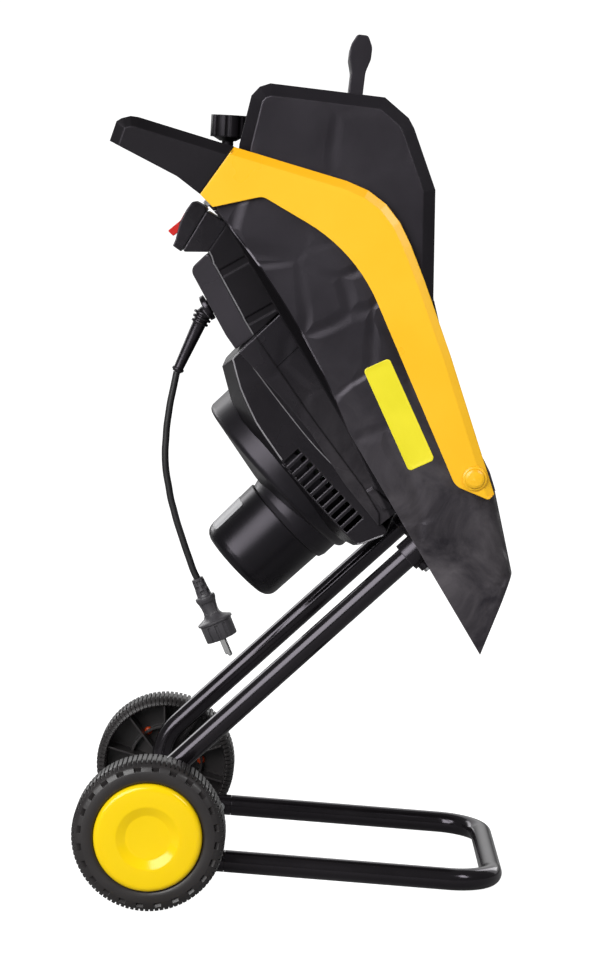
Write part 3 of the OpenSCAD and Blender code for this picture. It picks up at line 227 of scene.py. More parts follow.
def effect_group(name, inputs, outputs):
    """An empty shader node group with float sockets, and its input and output sockets to wire up."""
    tree = bpy.data.node_groups.new(name, "ShaderNodeTree")
    for label, value in inputs.items():
        socket = tree.interface.new_socket(label, in_out="INPUT", socket_type="NodeSocketFloat")
        socket.default_value = value
    for label in outputs:
        tree.interface.new_socket(label, in_out="OUTPUT", socket_type="NodeSocketFloat")
    return tree, tree.nodes.new("NodeGroupInput").outputs, tree.nodes.new("NodeGroupOutput").inputs


print("shader helpers ready")

# %% [markdown]
# ## Studio
# The machine stands on a pale floor that curves up into a backdrop, so no horizon line shows. Product
# photographers light black plastic with large soft boxes, because black shows mainly what it mirrors. The key
# box stands left of the camera, a weaker one right and two narrow ones behind. Nothing hangs overhead, so
# bevels that look up stay dark. The wall of the sweep is lit and glows. The floor, and the air beyond it,
# look white to the camera alone, because a white floor would show in every black face that looks down.

# %% Floor
WHITE, PAPER_GREY = (1.0, 1.0, 1.0, 1.0), (0.3, 0.3, 0.3, 1.0)
PAPER_ROUGH = 0.9
WALL_FROM, WALL_TO = 0.6, 3.0


def backdrop_points():
    """Profile of floor, quarter circle and wall, carried along X."""
    front_y, bend_y, bend_r, wall_top, half_width = -14.0, 8.0, 3.0, 13.0, 18.0
    a = np.linspace(0, np.pi / 2, 24)
    y = np.concatenate([[front_y], bend_y + bend_r * np.sin(a), [bend_y + bend_r]])
    z = np.concatenate([[0.0], bend_r - bend_r * np.cos(a), [wall_top]])
    x = np.linspace(-half_width, half_width, 2)
    return np.stack(np.broadcast_arrays(x[None, :], y[:, None], z[:, None]), axis=-1)


pale = bpy.data.materials.new("pale_floor")
pale.use_nodes = True
tree = pale.node_tree
paper = tree.nodes["Principled BSDF"].inputs
paper["Base Color"].default_value = PAPER_GREY
paper["Roughness"].default_value = PAPER_ROUGH
paper["Emission Color"].default_value = WHITE
high = shader_node(tree, "SeparateXYZ", {"Vector": object_place(tree)}).outputs["Z"]
seen = shader_node(tree, "LightPath").outputs["Is Camera Ray"]
glow = arithmetic(tree, "MAXIMUM", ramp(tree, high, WALL_FROM, WALL_TO), seen)
tree.links.new(glow, paper["Emission Strength"])
floor_points = backdrop_points()
floor_mesh = bpy.data.meshes.new("studio_floor")
floor_quads = grid_quads(*floor_points.shape[:2])
floor_mesh.from_pydata(floor_points.reshape(-1, 3).tolist(), [], floor_quads.tolist())
floor_mesh.materials.append(pale)
studio_floor = bpy.data.objects.new("studio_floor", floor_mesh)
bpy.context.scene.collection.objects.link(studio_floor)
print("floor and backdrop:", len(floor_mesh.polygons), "quads")

# %% Light
MIDDLE = (0.0, 0.0, 0.45)
AIR_LIGHT, AIR_SEEN = 0.14, 1.1


def soft_box(name, place, size, power):
    """A rectangular area light at place that faces the machine's middle."""
    data = bpy.data.lights.new(name, "AREA")
    data.shape = "RECTANGLE"
    data.size, data.size_y = size
    data.energy = power
    box = bpy.data.objects.new(name, data)
    bpy.context.scene.collection.objects.link(box)
    away = Vector(place) - Vector(MIDDLE)
    box.matrix_world = Matrix.Translation(place) @ away.to_track_quat("Z", "Y").to_matrix().to_4x4()


soft_box("key_box", (-1.9, -3.3, 2.18), (2.85, 2.85), 178)
soft_box("fill_box", (1.55, -1.6, 1.7), (0.6, 0.9), 15)
soft_box("back_box_left", (-1.7, 2.0, 1.5), (0.8, 1.8), 15)
soft_box("back_box_right", (1.7, 2.0, 1.5), (0.8, 1.8), 15)
world = bpy.data.worlds.new("studio_air")
world.use_nodes = True
tree = world.node_tree
air = tree.nodes["Background"].inputs
air["Color"].default_value = WHITE
seen = shader_node(tree, "LightPath").outputs["Is Camera Ray"]
strength = shader_node(tree, "MapRange", {"Value": seen, "To Min": AIR_LIGHT, "To Max": AIR_SEEN})
tree.links.new(strength.outputs["Result"], air["Strength"])
bpy.context.scene.world = world
bpy.context.scene.view_settings.view_transform = "Standard"
print("soft boxes:", len(bpy.data.lights))

# %% [markdown]
# ## Surface effects
# Moulded plastic has a fine grain, and slow patches where it cooled unevenly. Turned and drawn steel has the
# fine lines of the tool, and a winding has its turns of wire. Pictures of each could be wrapped round the
# pieces, but noise on Object coordinates needs no unwrapping and stays sharp close up.

# %% Moulded grain
PATCH_FROM, PATCH_TO = 0.3, 0.7
tree, given, result = effect_group("moulded_grain", {"Grain Scale": 1500.0, "Patch Scale": 14.0},
                                   ["Height", "Patch"])
place = object_place(tree)
grain = noise(tree, place, given["Grain Scale"])
slow = noise(tree, place, given["Patch Scale"], detail=3.0)
tree.links.new(grain, result["Height"])
tree.links.new(ramp(tree, slow, PATCH_FROM, PATCH_TO), result["Patch"])
print("group moulded_grain:", len(tree.nodes), "nodes")

# %% Tool lines
DRAWN_OUT = (1.0, 0.04, 1.0)
tree, given, result = effect_group("tool_lines", {"Grain Scale": 900.0, "Patch Scale": 30.0},
                                   ["Height", "Patch"])
place = object_place(tree)
drawn = shader_node(tree, "Mapping", {"Vector": place, "Scale": DRAWN_OUT}).outputs[0]
lines = noise(tree, drawn, given["Grain Scale"])
slow = noise(tree, place, given["Patch Scale"])
tree.links.new(lines, result["Height"])
tree.links.new(mix_values(tree, 0.5, lines, slow), result["Patch"])
print("group tool_lines:", len(tree.nodes), "nodes")

# %% Wound wire
UNEVEN = 0.6
tree, given, result = effect_group("wound_wire", {"Grain Scale": 900.0, "Patch Scale": 60.0},
                                   ["Height", "Patch"])
place = object_place(tree)
turns = shader_node(tree, "TexWave", {"Vector": place, "Scale": given["Grain Scale"], "Distortion": UNEVEN},
                    wave_type="BANDS", bands_direction="DIAGONAL").outputs["Fac"]
tree.links.new(turns, result["Height"])
tree.links.new(noise(tree, place, given["Patch Scale"]), result["Patch"])
print("group wound_wire:", len(tree.nodes), "nodes")

# %% [markdown]
# ## Folds, painted shade and low grey
# The wide side panels are thin, and the light shows soft folds in them. Cells round scattered points have
# straight borders, so a slow noise bends them first, and a second one leaves only some. A band of painted
# shade along the panel's lower left edge makes that edge look drawn in a little, and the wall below it is
# painted in deep shade. That painted shade is worked out from the place in the deck's own tilted frame, so it
# follows the edge. Lighter grey patches are painted on the panels low down.

# %% Panel creases
DRIFT_SCALE, DRIFT_REACH = 7.0, (0.06, 0.06, 0.06)
FOLD_WIDTH = 0.14
FOLDED_SCALE, FOLDED_FROM, FOLDED_TO = 9.0, 0.42, 0.62
tree, given, result = effect_group("panel_creases", {"Crease Scale": 16.0}, ["Height"])
place = object_place(tree)
drift = shader_node(tree, "TexNoise", {"Vector": place, "Scale": DRIFT_SCALE, "Detail": 2.0}).outputs["Color"]
bent = shader_node(tree, "VectorMath", {0: drift, 1: DRIFT_REACH, 2: place},
                   operation="MULTIPLY_ADD").outputs[0]
cells = shader_node(tree, "TexVoronoi", {"Vector": bent, "Scale": given["Crease Scale"]},
                    feature="DISTANCE_TO_EDGE").outputs["Distance"]
fold = ramp(tree, cells, 0.0, FOLD_WIDTH, interpolation_type="SMOOTHSTEP")
where = ramp(tree, noise(tree, place, FOLDED_SCALE, detail=1.0), FOLDED_FROM, FOLDED_TO)
tree.links.new(mix_values(tree, where, 1.0, fold), result["Height"])
print("group panel_creases:", len(tree.nodes), "nodes")

# %% Painted shade under the panel
# Painted shade: the panel's outer face is painted dark in a band along its lower left edge, so the straight
# edge looks drawn in, and the wall below it is painted in deep shade.
DECK = np.array([0.0555, 0.0, 0.4713])
TILT_COS, TILT_SIN = 0.67559, 0.73728
ALONG_DECK, UP_DECK = (TILT_COS, 0.0, -TILT_SIN), (TILT_SIN, 0.0, TILT_COS)
EDGE_SLOPE, EDGE_START = -0.2276, -0.0011
SHADE_BAND_MID, SHADE_BAND_HALF, SHADE_BAND_HEIGHT = -0.108, 0.105, 0.0082
SHADE_BAND_SOFT = 0.001
VALLEY_SLOPE, VALLEY_START = -0.308, -0.0039
SHADE_END, SHADE_FULL = 0.02, 0.012
PANEL_Y, WALL_Y = 0.143, 0.135
WALL_SHADE = 0.4
tree, given, result = effect_group("painted_shade_under_panel", {"Shade Line From": -0.002, "Shade Line To": 0.002}, ["Shade"])
place = object_place(tree)


def deck_distance(direction):
    """How far the place lies from the deck's origin along one of its directions."""
    start = float(DECK @ np.array(direction))
    return arithmetic(tree, "SUBTRACT", dot_product(tree, place, direction), start)


def above_line(slope, start):
    """Height over a straight line in the deck frame: z - (slope * x + start)."""
    line = arithmetic(tree, "ADD", arithmetic(tree, "MULTIPLY", deck_x, slope), start)
    return arithmetic(tree, "SUBTRACT", deck_z, line)


deck_x, deck_z = deck_distance(ALONG_DECK), deck_distance(UP_DECK)
over_edge = above_line(EDGE_SLOPE, EDGE_START)
off_middle = arithmetic(tree, "DIVIDE", arithmetic(tree, "SUBTRACT", deck_x, SHADE_BAND_MID), SHADE_BAND_HALF)
bow = arithmetic(tree, "SUBTRACT", 1.0, arithmetic(tree, "MULTIPLY", off_middle, off_middle))
beyond = arithmetic(tree, "SUBTRACT", over_edge, arithmetic(tree, "MULTIPLY", bow, SHADE_BAND_HEIGHT))
# The painted dark band on the panel's outer face, highest in its middle.
lens = ramp(tree, beyond, SHADE_BAND_SOFT, -SHADE_BAND_SOFT)
above_valley = ramp(tree, above_line(VALLEY_SLOPE, VALLEY_START), given["Shade Line From"], given["Shade Line To"])
near_edge = arithmetic(tree, "MULTIPLY", above_valley, ramp(tree, over_edge, SHADE_END, SHADE_FULL))
# Inside the panels the wall is painted partly dark everywhere and fully dark under the edge, as shade.
painted_wall_shade = arithmetic(tree, "MAXIMUM", near_edge, WALL_SHADE)
off_centre = arithmetic(tree, "ABSOLUTE", shader_node(tree, "SeparateXYZ", {"Vector": place}).outputs["Y"])
inside = ramp(tree, off_centre, PANEL_Y, WALL_Y)
tree.links.new(mix_values(tree, inside, lens, painted_wall_shade), result["Shade"])
print("group painted_shade_under_panel:", len(tree.nodes), "nodes")

# %% Low grey patches
GREYING_FADE = 0.24
CLOUD_FROM, CLOUD_TO = 0.34, 0.72
tree, given, result = effect_group("low_greying", {"Dust Top": 0.56, "Dust Scale": 16.0}, ["Dust"])
place = object_place(tree)
high = shader_node(tree, "SeparateXYZ", {"Vector": place}).outputs["Z"]
depth = ramp(tree, arithmetic(tree, "SUBTRACT", given["Dust Top"], high), 0.0, GREYING_FADE)
cloud = shader_node(tree, "TexNoise", {"Vector": place, "Scale": given["Dust Scale"], "Detail": 6.0,
                                       "Roughness": 0.65, "Distortion": 0.8}).outputs["Fac"]
greying = arithmetic(tree, "MULTIPLY", depth, ramp(tree, cloud, CLOUD_FROM, CLOUD_TO))
tree.links.new(greying, result["Dust"])
print("group low_greying:", len(tree.nodes), "nodes")

# %% [markdown]
# ## One recipe for every finish
# A finish here is a base colour that wanders a little between a darker and a lighter tone, a roughness that
# follows the same patches, and a bump from the fine grain. The Bevel node rounds the shading of the CAD
# model's sharp edges, which gives real mouldings their thin bright edge lines. Real bevels on thousands of
# edges would be slow and would tear where edges meet.

# %% Finish recipe
FINISH = {}
LOW_GREY = (0.11, 0.10, 0.107, 1.0)
EDGE_HIGHLIGHT_GREY = (0.12, 0.115, 0.122, 1.0)
PAINTED_SHADE_BLACK = (0.0012, 0.0010, 0.0012, 1.0)
PAINTED_SHADE_ROUGH = 0.14
EDGE_HIGHLIGHT_FROM, EDGE_HIGHLIGHT_TO = 0.99, 0.78
UP_SHADE_FROM, UP_SHADE_TO = 0.15, 0.6
BEVEL_SAMPLES = 6


def effect_node(tree, effect, **values):
    """A node in the tree that calls one of the effect groups, with some of its values set."""
    made = tree.nodes.new("ShaderNodeGroup")
    made.node_tree = bpy.data.node_groups[effect]
    for key, value in values.items():
        made.inputs[key.replace("_", " ")].default_value = value
    return made


def bump_node(tree, height, depth, normal):
    """The normal, tilted by a relief of that height and depth."""
    relief = {"Height": height, "Strength": 1.0, "Distance": depth, "Normal": normal}
    return shader_node(tree, "Bump", relief).outputs["Normal"]


def make_finish(name, colour, rough, effect="moulded_grain", grain=1500.0, patch=14.0, bump=0.00003,
                tone=0.12, spread=0.05, metal=0.0, edge=0.0012, specular=0.5, tint=(1.0, 1.0, 1.0),
                crease=0.0, greyed_low=0.0, painted_edge_highlight=0.0, groove=False, painted_up_shade=None):
    """A material: by its patches colour x (1 -/+ tone) and roughness rough -/+ spread, and grain as a bump.

    bump is the depth of the grain, and edge the radius of the rounded edges. crease folds a wide panel by
    that depth, greyed_low lays lighter grey patches on its low part, painted_edge_highlight paints its
    edges lighter grey as a highlight, groove paints shade, near black and without folds, under the panel's
    edge, and painted_up_shade is a darker colour painted on faces that look up, as shade.
    """
    material = bpy.data.materials.new(name)
    material.use_nodes = True
    tree = material.node_tree
    shader = tree.nodes["Principled BSDF"].inputs
    shader["Metallic"].default_value = metal
    shader["Specular IOR Level"].default_value = specular
    shader["Specular Tint"].default_value = (*tint, 1.0)
    surface = effect_node(tree, effect, Grain_Scale=grain, Patch_Scale=patch).outputs
    face = shader_node(tree, "NewGeometry").outputs["Normal"]
    rounded = shader_node(tree, "Bevel", {"Radius": edge}, samples=BEVEL_SAMPLES).outputs["Normal"]
    dark, light = ([min(1.0, c * (1 + sign * tone)) for c in colour] + [1.0] for sign in (-1, 1))
    skin = mix_colours(tree, surface["Patch"], dark, light)
    worn = shader_node(tree, "MapRange", {"Value": surface["Patch"], "To Min": rough - spread,
                                          "To Max": rough + spread}).outputs["Result"]
    normal = bump_node(tree, surface["Height"], bump, rounded)
    folds = effect_node(tree, "panel_creases").outputs["Height"] if crease else None
    # Lighter grey patches towards the bottom.
    if greyed_low:
        greying = effect_node(tree, "low_greying").outputs["Dust"]
        skin = mix_colours(tree, arithmetic(tree, "MULTIPLY", greying, greyed_low), skin, LOW_GREY)
    # Painted highlight: at edges, where the rounded normal turns away from the face, the colour goes lighter
    # grey.
    if painted_edge_highlight:
        turned = dot_product(tree, rounded, face)
        edge_highlight_mask = shader_node(tree, "MapRange", {"Value": turned, "From Min": EDGE_HIGHLIGHT_FROM,
                                                "From Max": EDGE_HIGHLIGHT_TO, "To Max": painted_edge_highlight}).outputs["Result"]
        skin = mix_colours(tree, edge_highlight_mask, skin, EDGE_HIGHLIGHT_GREY)
    # Painted shade under the panel's edge: the colour goes near black, the surface glossier, and the folds
    # flatten.
    if groove:
        shade = effect_node(tree, "painted_shade_under_panel").outputs["Shade"]
        skin = mix_colours(tree, shade, skin, PAINTED_SHADE_BLACK)
        worn = mix_values(tree, shade, worn, PAINTED_SHADE_ROUGH)
        folds = mix_values(tree, shade, folds, 1.0) if crease else None
    # Painted shade: faces that look up get a darker colour, since no light falls from above.
    if painted_up_shade:
        up = shader_node(tree, "SeparateXYZ", {"Vector": face}).outputs["Z"]
        skin = mix_colours(tree, ramp(tree, up, UP_SHADE_FROM, UP_SHADE_TO), skin, (*painted_up_shade, 1.0))
    if crease:
        normal = bump_node(tree, folds, crease, normal)
    tree.links.new(skin, shader["Base Color"])
    tree.links.new(worn, shader["Roughness"])
    tree.links.new(normal, shader["Normal"])
    FINISH[name] = material


print("recipe ready, bevel samples", BEVEL_SAMPLES)

# %% [markdown]
# ## The finishes of this machine
# The stand is sprayed gloss black over smooth tube. The housing is satin black, the cover in front of the
# column a lighter charcoal, the arms and hub caps a warm yellow, the rocker red. Its black plastic mirrors a
# touch of plum. Metal hides inside: zinc-plated screws, a hardened disc, copper windings and brass fittings.

# %% Black plastics and paints
PLUM = (0.95, 0.88, 1.0)
SATIN = {"colour": (0.0102, 0.0089, 0.0112), "rough": 0.34, "grain": 1700.0, "patch": 11.0, "tone": 0.2,
         "spread": 0.07, "edge": 0.002, "tint": PLUM}
make_finish("tube_gloss", (0.0075, 0.0066, 0.0075), 0.15, grain=140.0, patch=20.0, bump=0.00001, spread=0.03,
            edge=0.0006, tint=PLUM)
# The black plastics below get lighter grey on their edges, a painted highlight.
make_finish("panel_satin", crease=0.0003, painted_edge_highlight=0.12, **SATIN)
# The housing is painted dark under the panel's edge, as shade.
make_finish("housing_satin", crease=0.0012, greyed_low=0.9, painted_edge_highlight=0.35, groove=True, **SATIN)
make_finish("front_charcoal", (0.024, 0.0215, 0.0255), 0.28, grain=1700.0, edge=0.003, tint=PLUM, painted_edge_highlight=0.5)
make_finish("black_moulding", (0.0055, 0.0048, 0.0058), 0.27, grain=1300.0, edge=0.0022, tint=PLUM,
            painted_edge_highlight=0.35)
make_finish("grip_black", (0.0045, 0.0040, 0.0046), 0.38, grain=1300.0, edge=0.002, specular=0.24, tint=PLUM,
            painted_edge_highlight=0.12)
# The lips' light grey is a painted highlight: the real lips are black plastic.
make_finish("lip_painted_highlight", (0.24, 0.232, 0.246), 0.22, grain=1300.0, patch=40.0, tone=0.3)
make_finish("motor_paint", (0.0055, 0.0051, 0.0062), 0.28, grain=700.0, edge=0.002, specular=0.3, tint=PLUM)
make_finish("drum_paint", (0.0085, 0.0078, 0.0095), 0.36, grain=700.0, edge=0.002, specular=0.36, tint=PLUM,
            painted_edge_highlight=0.3)
print("black plastics and paints:", len(FINISH))

# %% Colours, rubber and vinyl
# The arms' faces that look up are painted darker orange, as shade.
make_finish("arm_yellow", (0.98, 0.53, 0.014), 0.3, grain=1200.0, patch=11.0, bump=0.00001, tone=0.03,
            edge=0.0016, painted_up_shade=(0.92, 0.40, 0.0))
make_finish("cap_yellow", (1.0, 0.67, 0.002), 0.14, grain=900.0, patch=16.0, bump=0.00001, tone=0.02,
            spread=0.03, specular=0.4)
make_finish("rocker_red", (0.78, 0.018, 0.013), 0.26, grain=1400.0, tone=0.06)
# The pegs are of the cap's yellow plastic; their dark orange is painted shade.
make_finish("peg_painted_shade", (0.80, 0.075, 0.006), 0.34, grain=1400.0, tone=0.05)
make_finish("tyre_charcoal", (0.024, 0.0212, 0.0216), 0.36, patch=22.0, bump=0.00004, edge=0.0007)
make_finish("lead_rubber", (0.014, 0.0135, 0.0145), 0.4, grain=2200.0, patch=40.0)
make_finish("plug_vinyl", (0.060, 0.057, 0.063), 0.36, grain=1800.0, patch=60.0, edge=0.0006)
make_finish("gear_nylon", (0.72, 0.72, 0.66), 0.42, grain=900.0, tone=0.05)
print("with colours, rubber and vinyl:", len(FINISH))

# %% Metals
make_finish("zinc_steel", (0.62, 0.63, 0.65), 0.3, "tool_lines", metal=1.0, edge=0.0004)
make_finish("blade_steel", (0.55, 0.56, 0.58), 0.24, "tool_lines", metal=1.0, edge=0.0004)
make_finish("pin_chrome", (0.86, 0.86, 0.86), 0.1, "tool_lines", grain=2000.0, tone=0.04, bump=0.000004,
            spread=0.03, metal=1.0, edge=0.0005)
make_finish("rough_casting", (0.56, 0.57, 0.58), 0.48, grain=600.0, bump=0.0001, metal=1.0)
make_finish("copper_wire", (0.72, 0.33, 0.16), 0.3, "wound_wire", bump=0.0003, metal=1.0)
make_finish("brass_turned", (0.78, 0.58, 0.22), 0.25, "tool_lines", metal=1.0, edge=0.0004)
print("with metals:", len(FINISH))

# %% [markdown]
# ## Dressing the solids
# Every solid of the machine wears one finish. The list runs from the finish to the pieces, as a maker sorts
# them: by moulding batch, by paint and by stock. The last line names any forgotten piece.

# %% Dress the CAD nodes
WEARS = {
    "tube_gloss": "leg_right leg_left foot_bow",
    "panel_satin": "hopper hopper_base pusher",
    "housing_satin": "lower_housing",
    "front_charcoal": "front_cover",
    "black_moulding": "leg_socket_right leg_socket_left motor_cover switch_base switch_cap safety_switch "
                      "cable_gland plug_body feed_funnel",
    "grip_black": "carry_handle switch_housing lock_knob",
    "motor_paint": "motor_can",
    "drum_paint": "gear_drum",
    "arm_yellow": "side_arm_right side_arm_left pivot_caps",
    "cap_yellow": "hub_cap_right hub_cap_left",
    "rocker_red": "rocker",
    "tyre_charcoal": "wheel_right wheel_left",
    "lead_rubber": "power_cord",
    "gear_nylon": "drive_gear cooling_fan",
    "zinc_steel": "foot_screws axle axle_spacers axle_nuts leg_screws shaft_bearings motor_bearings "
                  "blade_shaft knife_screws disc_bolt armature_shaft pinion hinge_pins arm_screws",
    "blade_steel": "blade_disc knives counter_blade",
    "pin_chrome": "plug_pins",
    "rough_casting": "gear_plate stator armature_core",
    "copper_wire": "field_coils commutator",
    "brass_turned": "brush_holders lock_insert",
}


def dress(piece, finish):
    """The finish goes on the object's own material slots, so the mesh data stays as it came."""
    if not piece.material_slots:
        piece.data.materials.append(None)
    for place in piece.material_slots:
        place.link = "OBJECT"
        place.material = FINISH[finish]


for finish, names in WEARS.items():
    for name in names.split():
        dress(nodes[name], finish)
dress(lead, "lead_rubber")
bare = [name for name, node in nodes.items() if node.material_slots[0].material.name not in FINISH]
print("nodes without a finish:", bare)

# %% [markdown]
# ## Turned shapes
# Wheels, hub caps, the gland and the plug are all turned shapes: a profile spun round an axis. Blender has a
# Screw modifier for that. Here the profile is spun in numpy, so that the same grid can also carry windows and
# grooves, which are small changes of radius over part of the turn.

# %% Lathe helper
FULL_TURN = even_turn(96)


def spin(profile, origin, axis, first, turn=FULL_TURN, dent=0.0):
    """Points origin + along * axis + (radius - dent) * (cos * first + sin * second).

    The profile's rows are (along, radius), and dent may differ from point to point of the grid.
    """
    axis, first = np.asarray(axis, float), np.asarray(first, float)
    second = np.cross(axis, first)
    along, radius = profile[:, 0, None, None], profile[:, 1, None, None]
    reach = radius - np.broadcast_to(dent, (len(profile), len(turn)))[..., None]
    angle = turn[None, :, None]
    return np.asarray(origin, float) + along * axis + reach * (np.cos(angle) * first + np.sin(angle) * second)


def join_shapes(*shapes):
    """Several (points, quads) shapes as one: each shape's quads are counted on from the points before it."""
    flat = [(points.reshape(-1, 3), quads) for points, quads in shapes]
    starts = np.cumsum([0] + [len(points) for points, _ in flat[:-1]])
    return np.vstack([points for points, _ in flat]), np.vstack([q + s for (_, q), s in zip(flat, starts)])


def spun_shape(profile, *place, closed_loop=False, **more):
    """A spun profile with its quads; closed_loop joins the profile's end to its start, as in a ring."""
    points = spin(profile, *place, **more)
    return points, grid_quads(*points.shape[:2], close_rows=closed_loop, close_cols=True)


def rounded_steps(corners, radius, steps=4):
    """A polyline whose inner corners become quadratic arcs that start and end within radius of the corner.

    On a short side, an arc takes no more than a given share of it.
    """
    most = 0.45
    before, here, after = corners[:-2], corners[1:-1], corners[2:]
    back, ahead = before - here, after - here
    back_len = np.linalg.norm(back, axis=1, keepdims=True)
    ahead_len = np.linalg.norm(ahead, axis=1, keepdims=True)
    enter = here + back / back_len * np.minimum(radius, most * back_len)
    leave = here + ahead / ahead_len * np.minimum(radius, most * ahead_len)
    t = np.linspace(0, 1, steps + 1)[None, :, None]
    arcs = (1 - t)**2 * enter[:, None] + 2 * t * (1 - t) * here[:, None] + t**2 * leave[:, None]
    return np.vstack([corners[:1], arcs.reshape(-1, 2), corners[-1:]])


def off_nearest(degrees, pitch):
    """How far each angle lies from the nearest multiple of the pitch."""
    return np.abs((degrees + pitch / 2) % pitch - pitch / 2)


print("a full turn has", len(FULL_TURN), "steps")

# %% [markdown]
# ## Tyres
# The wheels are hard plastic with a moulded tread: 96 bars with narrow slits between them, which run on over
# the inner shoulder, and 24 small pockets in the outer one. A pocket's floor is a ramp that looks towards the
# axle, so the pockets low on the wheel look up into the light. A texture could fake them, but not that gleam,
# so they are real here. The grid columns are set exactly on the edges of bars and pockets, so each edge stays
# crisp with few faces.

# %% Tyre
AXLE = (-0.1416, 0.0, 0.075)
WHEEL_MID = 0.175
POCKETS, BARS = 24, 96
COLUMNS_DEG = np.array([
    0, 0.5, 0.62, 1.87, 3.13, 3.25, 3.75, 4.25, 4.37, 4.5, 4.62, 5.7, 6.88, 7, 7.5, 8, 8.12, 9.3, 10.38, 10.5,
    10.63, 10.75, 11.25, 11.75, 11.87, 13.1, 14.38, 14.5,
])
POCKET_FROM_DEG, POCKET_TO_DEG = 4.55, 10.45
POCKET_FROM_MM, POCKET_TO_MM = 65.35, 69.95
RAMP_FOOT_MM, RAMP_OUT_MM, RAMP_SLOPE = 65.4, 20.4, 0.42
SLIT_HALF_DEG, SLIT_DEEP_MM = 0.55, 2.3
TREAD_MM, INNER_TREAD_MM = 71.95, 66.1
LEAN_FROM_MM, LEAN_OVER_MM = 66, 6
TYRE_MM = np.array([
    [13.0, 53.6], [22.4, 53.6], [23.2, 54.2], [23.9, 56.0], [24.4, 59.0], [24.4, 62.0], [24.1, 64.8],
    [24.0, 65.3], [23.95, 65.4], [23.0, 68.0], [21.8, 69.9], [21.7, 70.0], [20.2, 71.7], [19.9, 71.9],
    [19.8, 72.0], [18.0, 73.3], [16.6, 74.2], [15.0, 75.0], [5.0, 75.0], [-5.0, 75.0], [-15.0, 75.0],
    [-16.6, 74.2], [-18.0, 73.3], [-19.8, 72.0], [-20.2, 71.7], [-21.7, 70.0], [-23.0, 68.2], [-23.6, 67.0],
    [-23.4, 66.2], [-22.6, 65.6], [-21.6, 65.4], [13.0, 64.2],
])


def tyre_shape(side):
    """Ring profile (out, radius) spun about the axle, with pockets and slits as changes of out and radius.

    In a pocket, out follows a ramp. A slit sinks along the surface: inwards on the tread, and more and more
    sideways down the shoulder.
    """
    degrees = (COLUMNS_DEG[None, :] + 360 / POCKETS * np.arange(POCKETS)[:, None]).ravel()
    pocket = np.tile((COLUMNS_DEG > POCKET_FROM_DEG) & (COLUMNS_DEG < POCKET_TO_DEG), POCKETS)
    slit = off_nearest(degrees, 360 / BARS) < SLIT_HALF_DEG
    out, radius = TYRE_MM[:, 0, None], TYRE_MM[:, 1, None]
    shoulder = (radius > POCKET_FROM_MM) & (radius < POCKET_TO_MM) & (out > 0)
    floor = RAMP_OUT_MM + RAMP_SLOPE * (radius - RAMP_FOOT_MM)
    tread = (radius > TREAD_MM) | ((out < 0) & (radius > INNER_TREAD_MM))
    sink = SLIT_DEEP_MM * slit[None, :] * tread
    lean = np.clip((radius - LEAN_FROM_MM) / LEAN_OVER_MM, 0, 1) * np.pi / 2
    reach = radius - sink * np.sin(lean)
    out = np.where(shoulder & pocket[None, :], floor, out - np.sign(out) * sink * np.cos(lean))
    angle = np.radians(degrees)[None, :]
    points = np.stack([AXLE[0] + reach / 1000 * np.cos(angle),
                       side * (WHEEL_MID + out / 1000) + 0 * angle,
                       AXLE[2] + reach / 1000 * np.sin(angle)], axis=-1)
    return points, grid_quads(*points.shape[:2], close_rows=True, close_cols=True)


print("tyre grid", len(TYRE_MM), "x", len(COLUMNS_DEG) * POCKETS)

# %% [markdown]
# ## Wheel cores and hub caps
# Seen from inside, a wheel is an open shell: a hub, a thin web, a stiffening ring and ten ribs. From outside
# the web is hidden by a dished yellow cap, which snaps in with three pegs of the same yellow plastic; they
# are coloured dark orange, as painted shade. Ribs could be cut from a solid with booleans, but thin boxes
# that end inside hub and rim look the same and never fail.

# %% Wheel core
BOX_QUADS = np.array([[0, 1, 3, 2], [4, 6, 7, 5], [0, 4, 5, 1], [2, 3, 7, 6], [0, 2, 6, 4], [1, 5, 7, 3]])
CORE_MM = np.array([
    [-25.0, 5.2], [-25.0, 14.0], [9.0, 14.0], [9.0, 37.5], [-2.0, 37.5], [-2.0, 40.0], [9.0, 40.0],
    [9.0, 64.6], [12.9, 64.6], [12.9, 14.0], [11.5, 14.0], [11.5, 5.2],
])
RIBS = 10
RIB_LONG_MM, RIB_WIDE_MM, RIB_DEEP_MM = (13.0, 64.6), (-0.9, 0.9), (-19.0, 9.5)
ALONG_X, ACROSS = (1, 0, 0), (0, 1, 0)


def on_axle(profile_mm, side, **more):
    """A profile (out, radius) in mm, spun about the axle at the middle of the wheel on that side."""
    foot = (AXLE[0], side * WHEEL_MID, AXLE[2])
    return spun_shape(profile_mm / 1000, foot, (0, side, 0), ALONG_X, **more)


def rib_shape(side):
    """Thin radial walls from hub to rim: one box of eight corners, turned evenly about the axle."""
    r, w, out = np.meshgrid(RIB_LONG_MM, RIB_WIDE_MM, RIB_DEEP_MM, indexing="ij")
    r, w, out = (values.ravel()[None, :] / 1000 for values in (r, w, out))
    angle = (np.arange(RIBS)[:, None] + 0.5) * 2 * np.pi / RIBS
    x, z = r * np.cos(angle) - w * np.sin(angle), r * np.sin(angle) + w * np.cos(angle)
    points = np.stack([AXLE[0] + x, side * (WHEEL_MID + out) + 0 * x, AXLE[2] + z], axis=-1)
    quads = BOX_QUADS[None] + 8 * np.arange(RIBS)[:, None, None]
    return points, quads.reshape(-1, 4)


def core_shape(side):
    """Hub, web and stiffening ring as one closed profile spun about the axle, joined with the radial ribs."""
    return join_shapes(on_axle(CORE_MM, side, closed_loop=True), rib_shape(side))


print("core profile", len(CORE_MM), "points, ribs", RIBS)

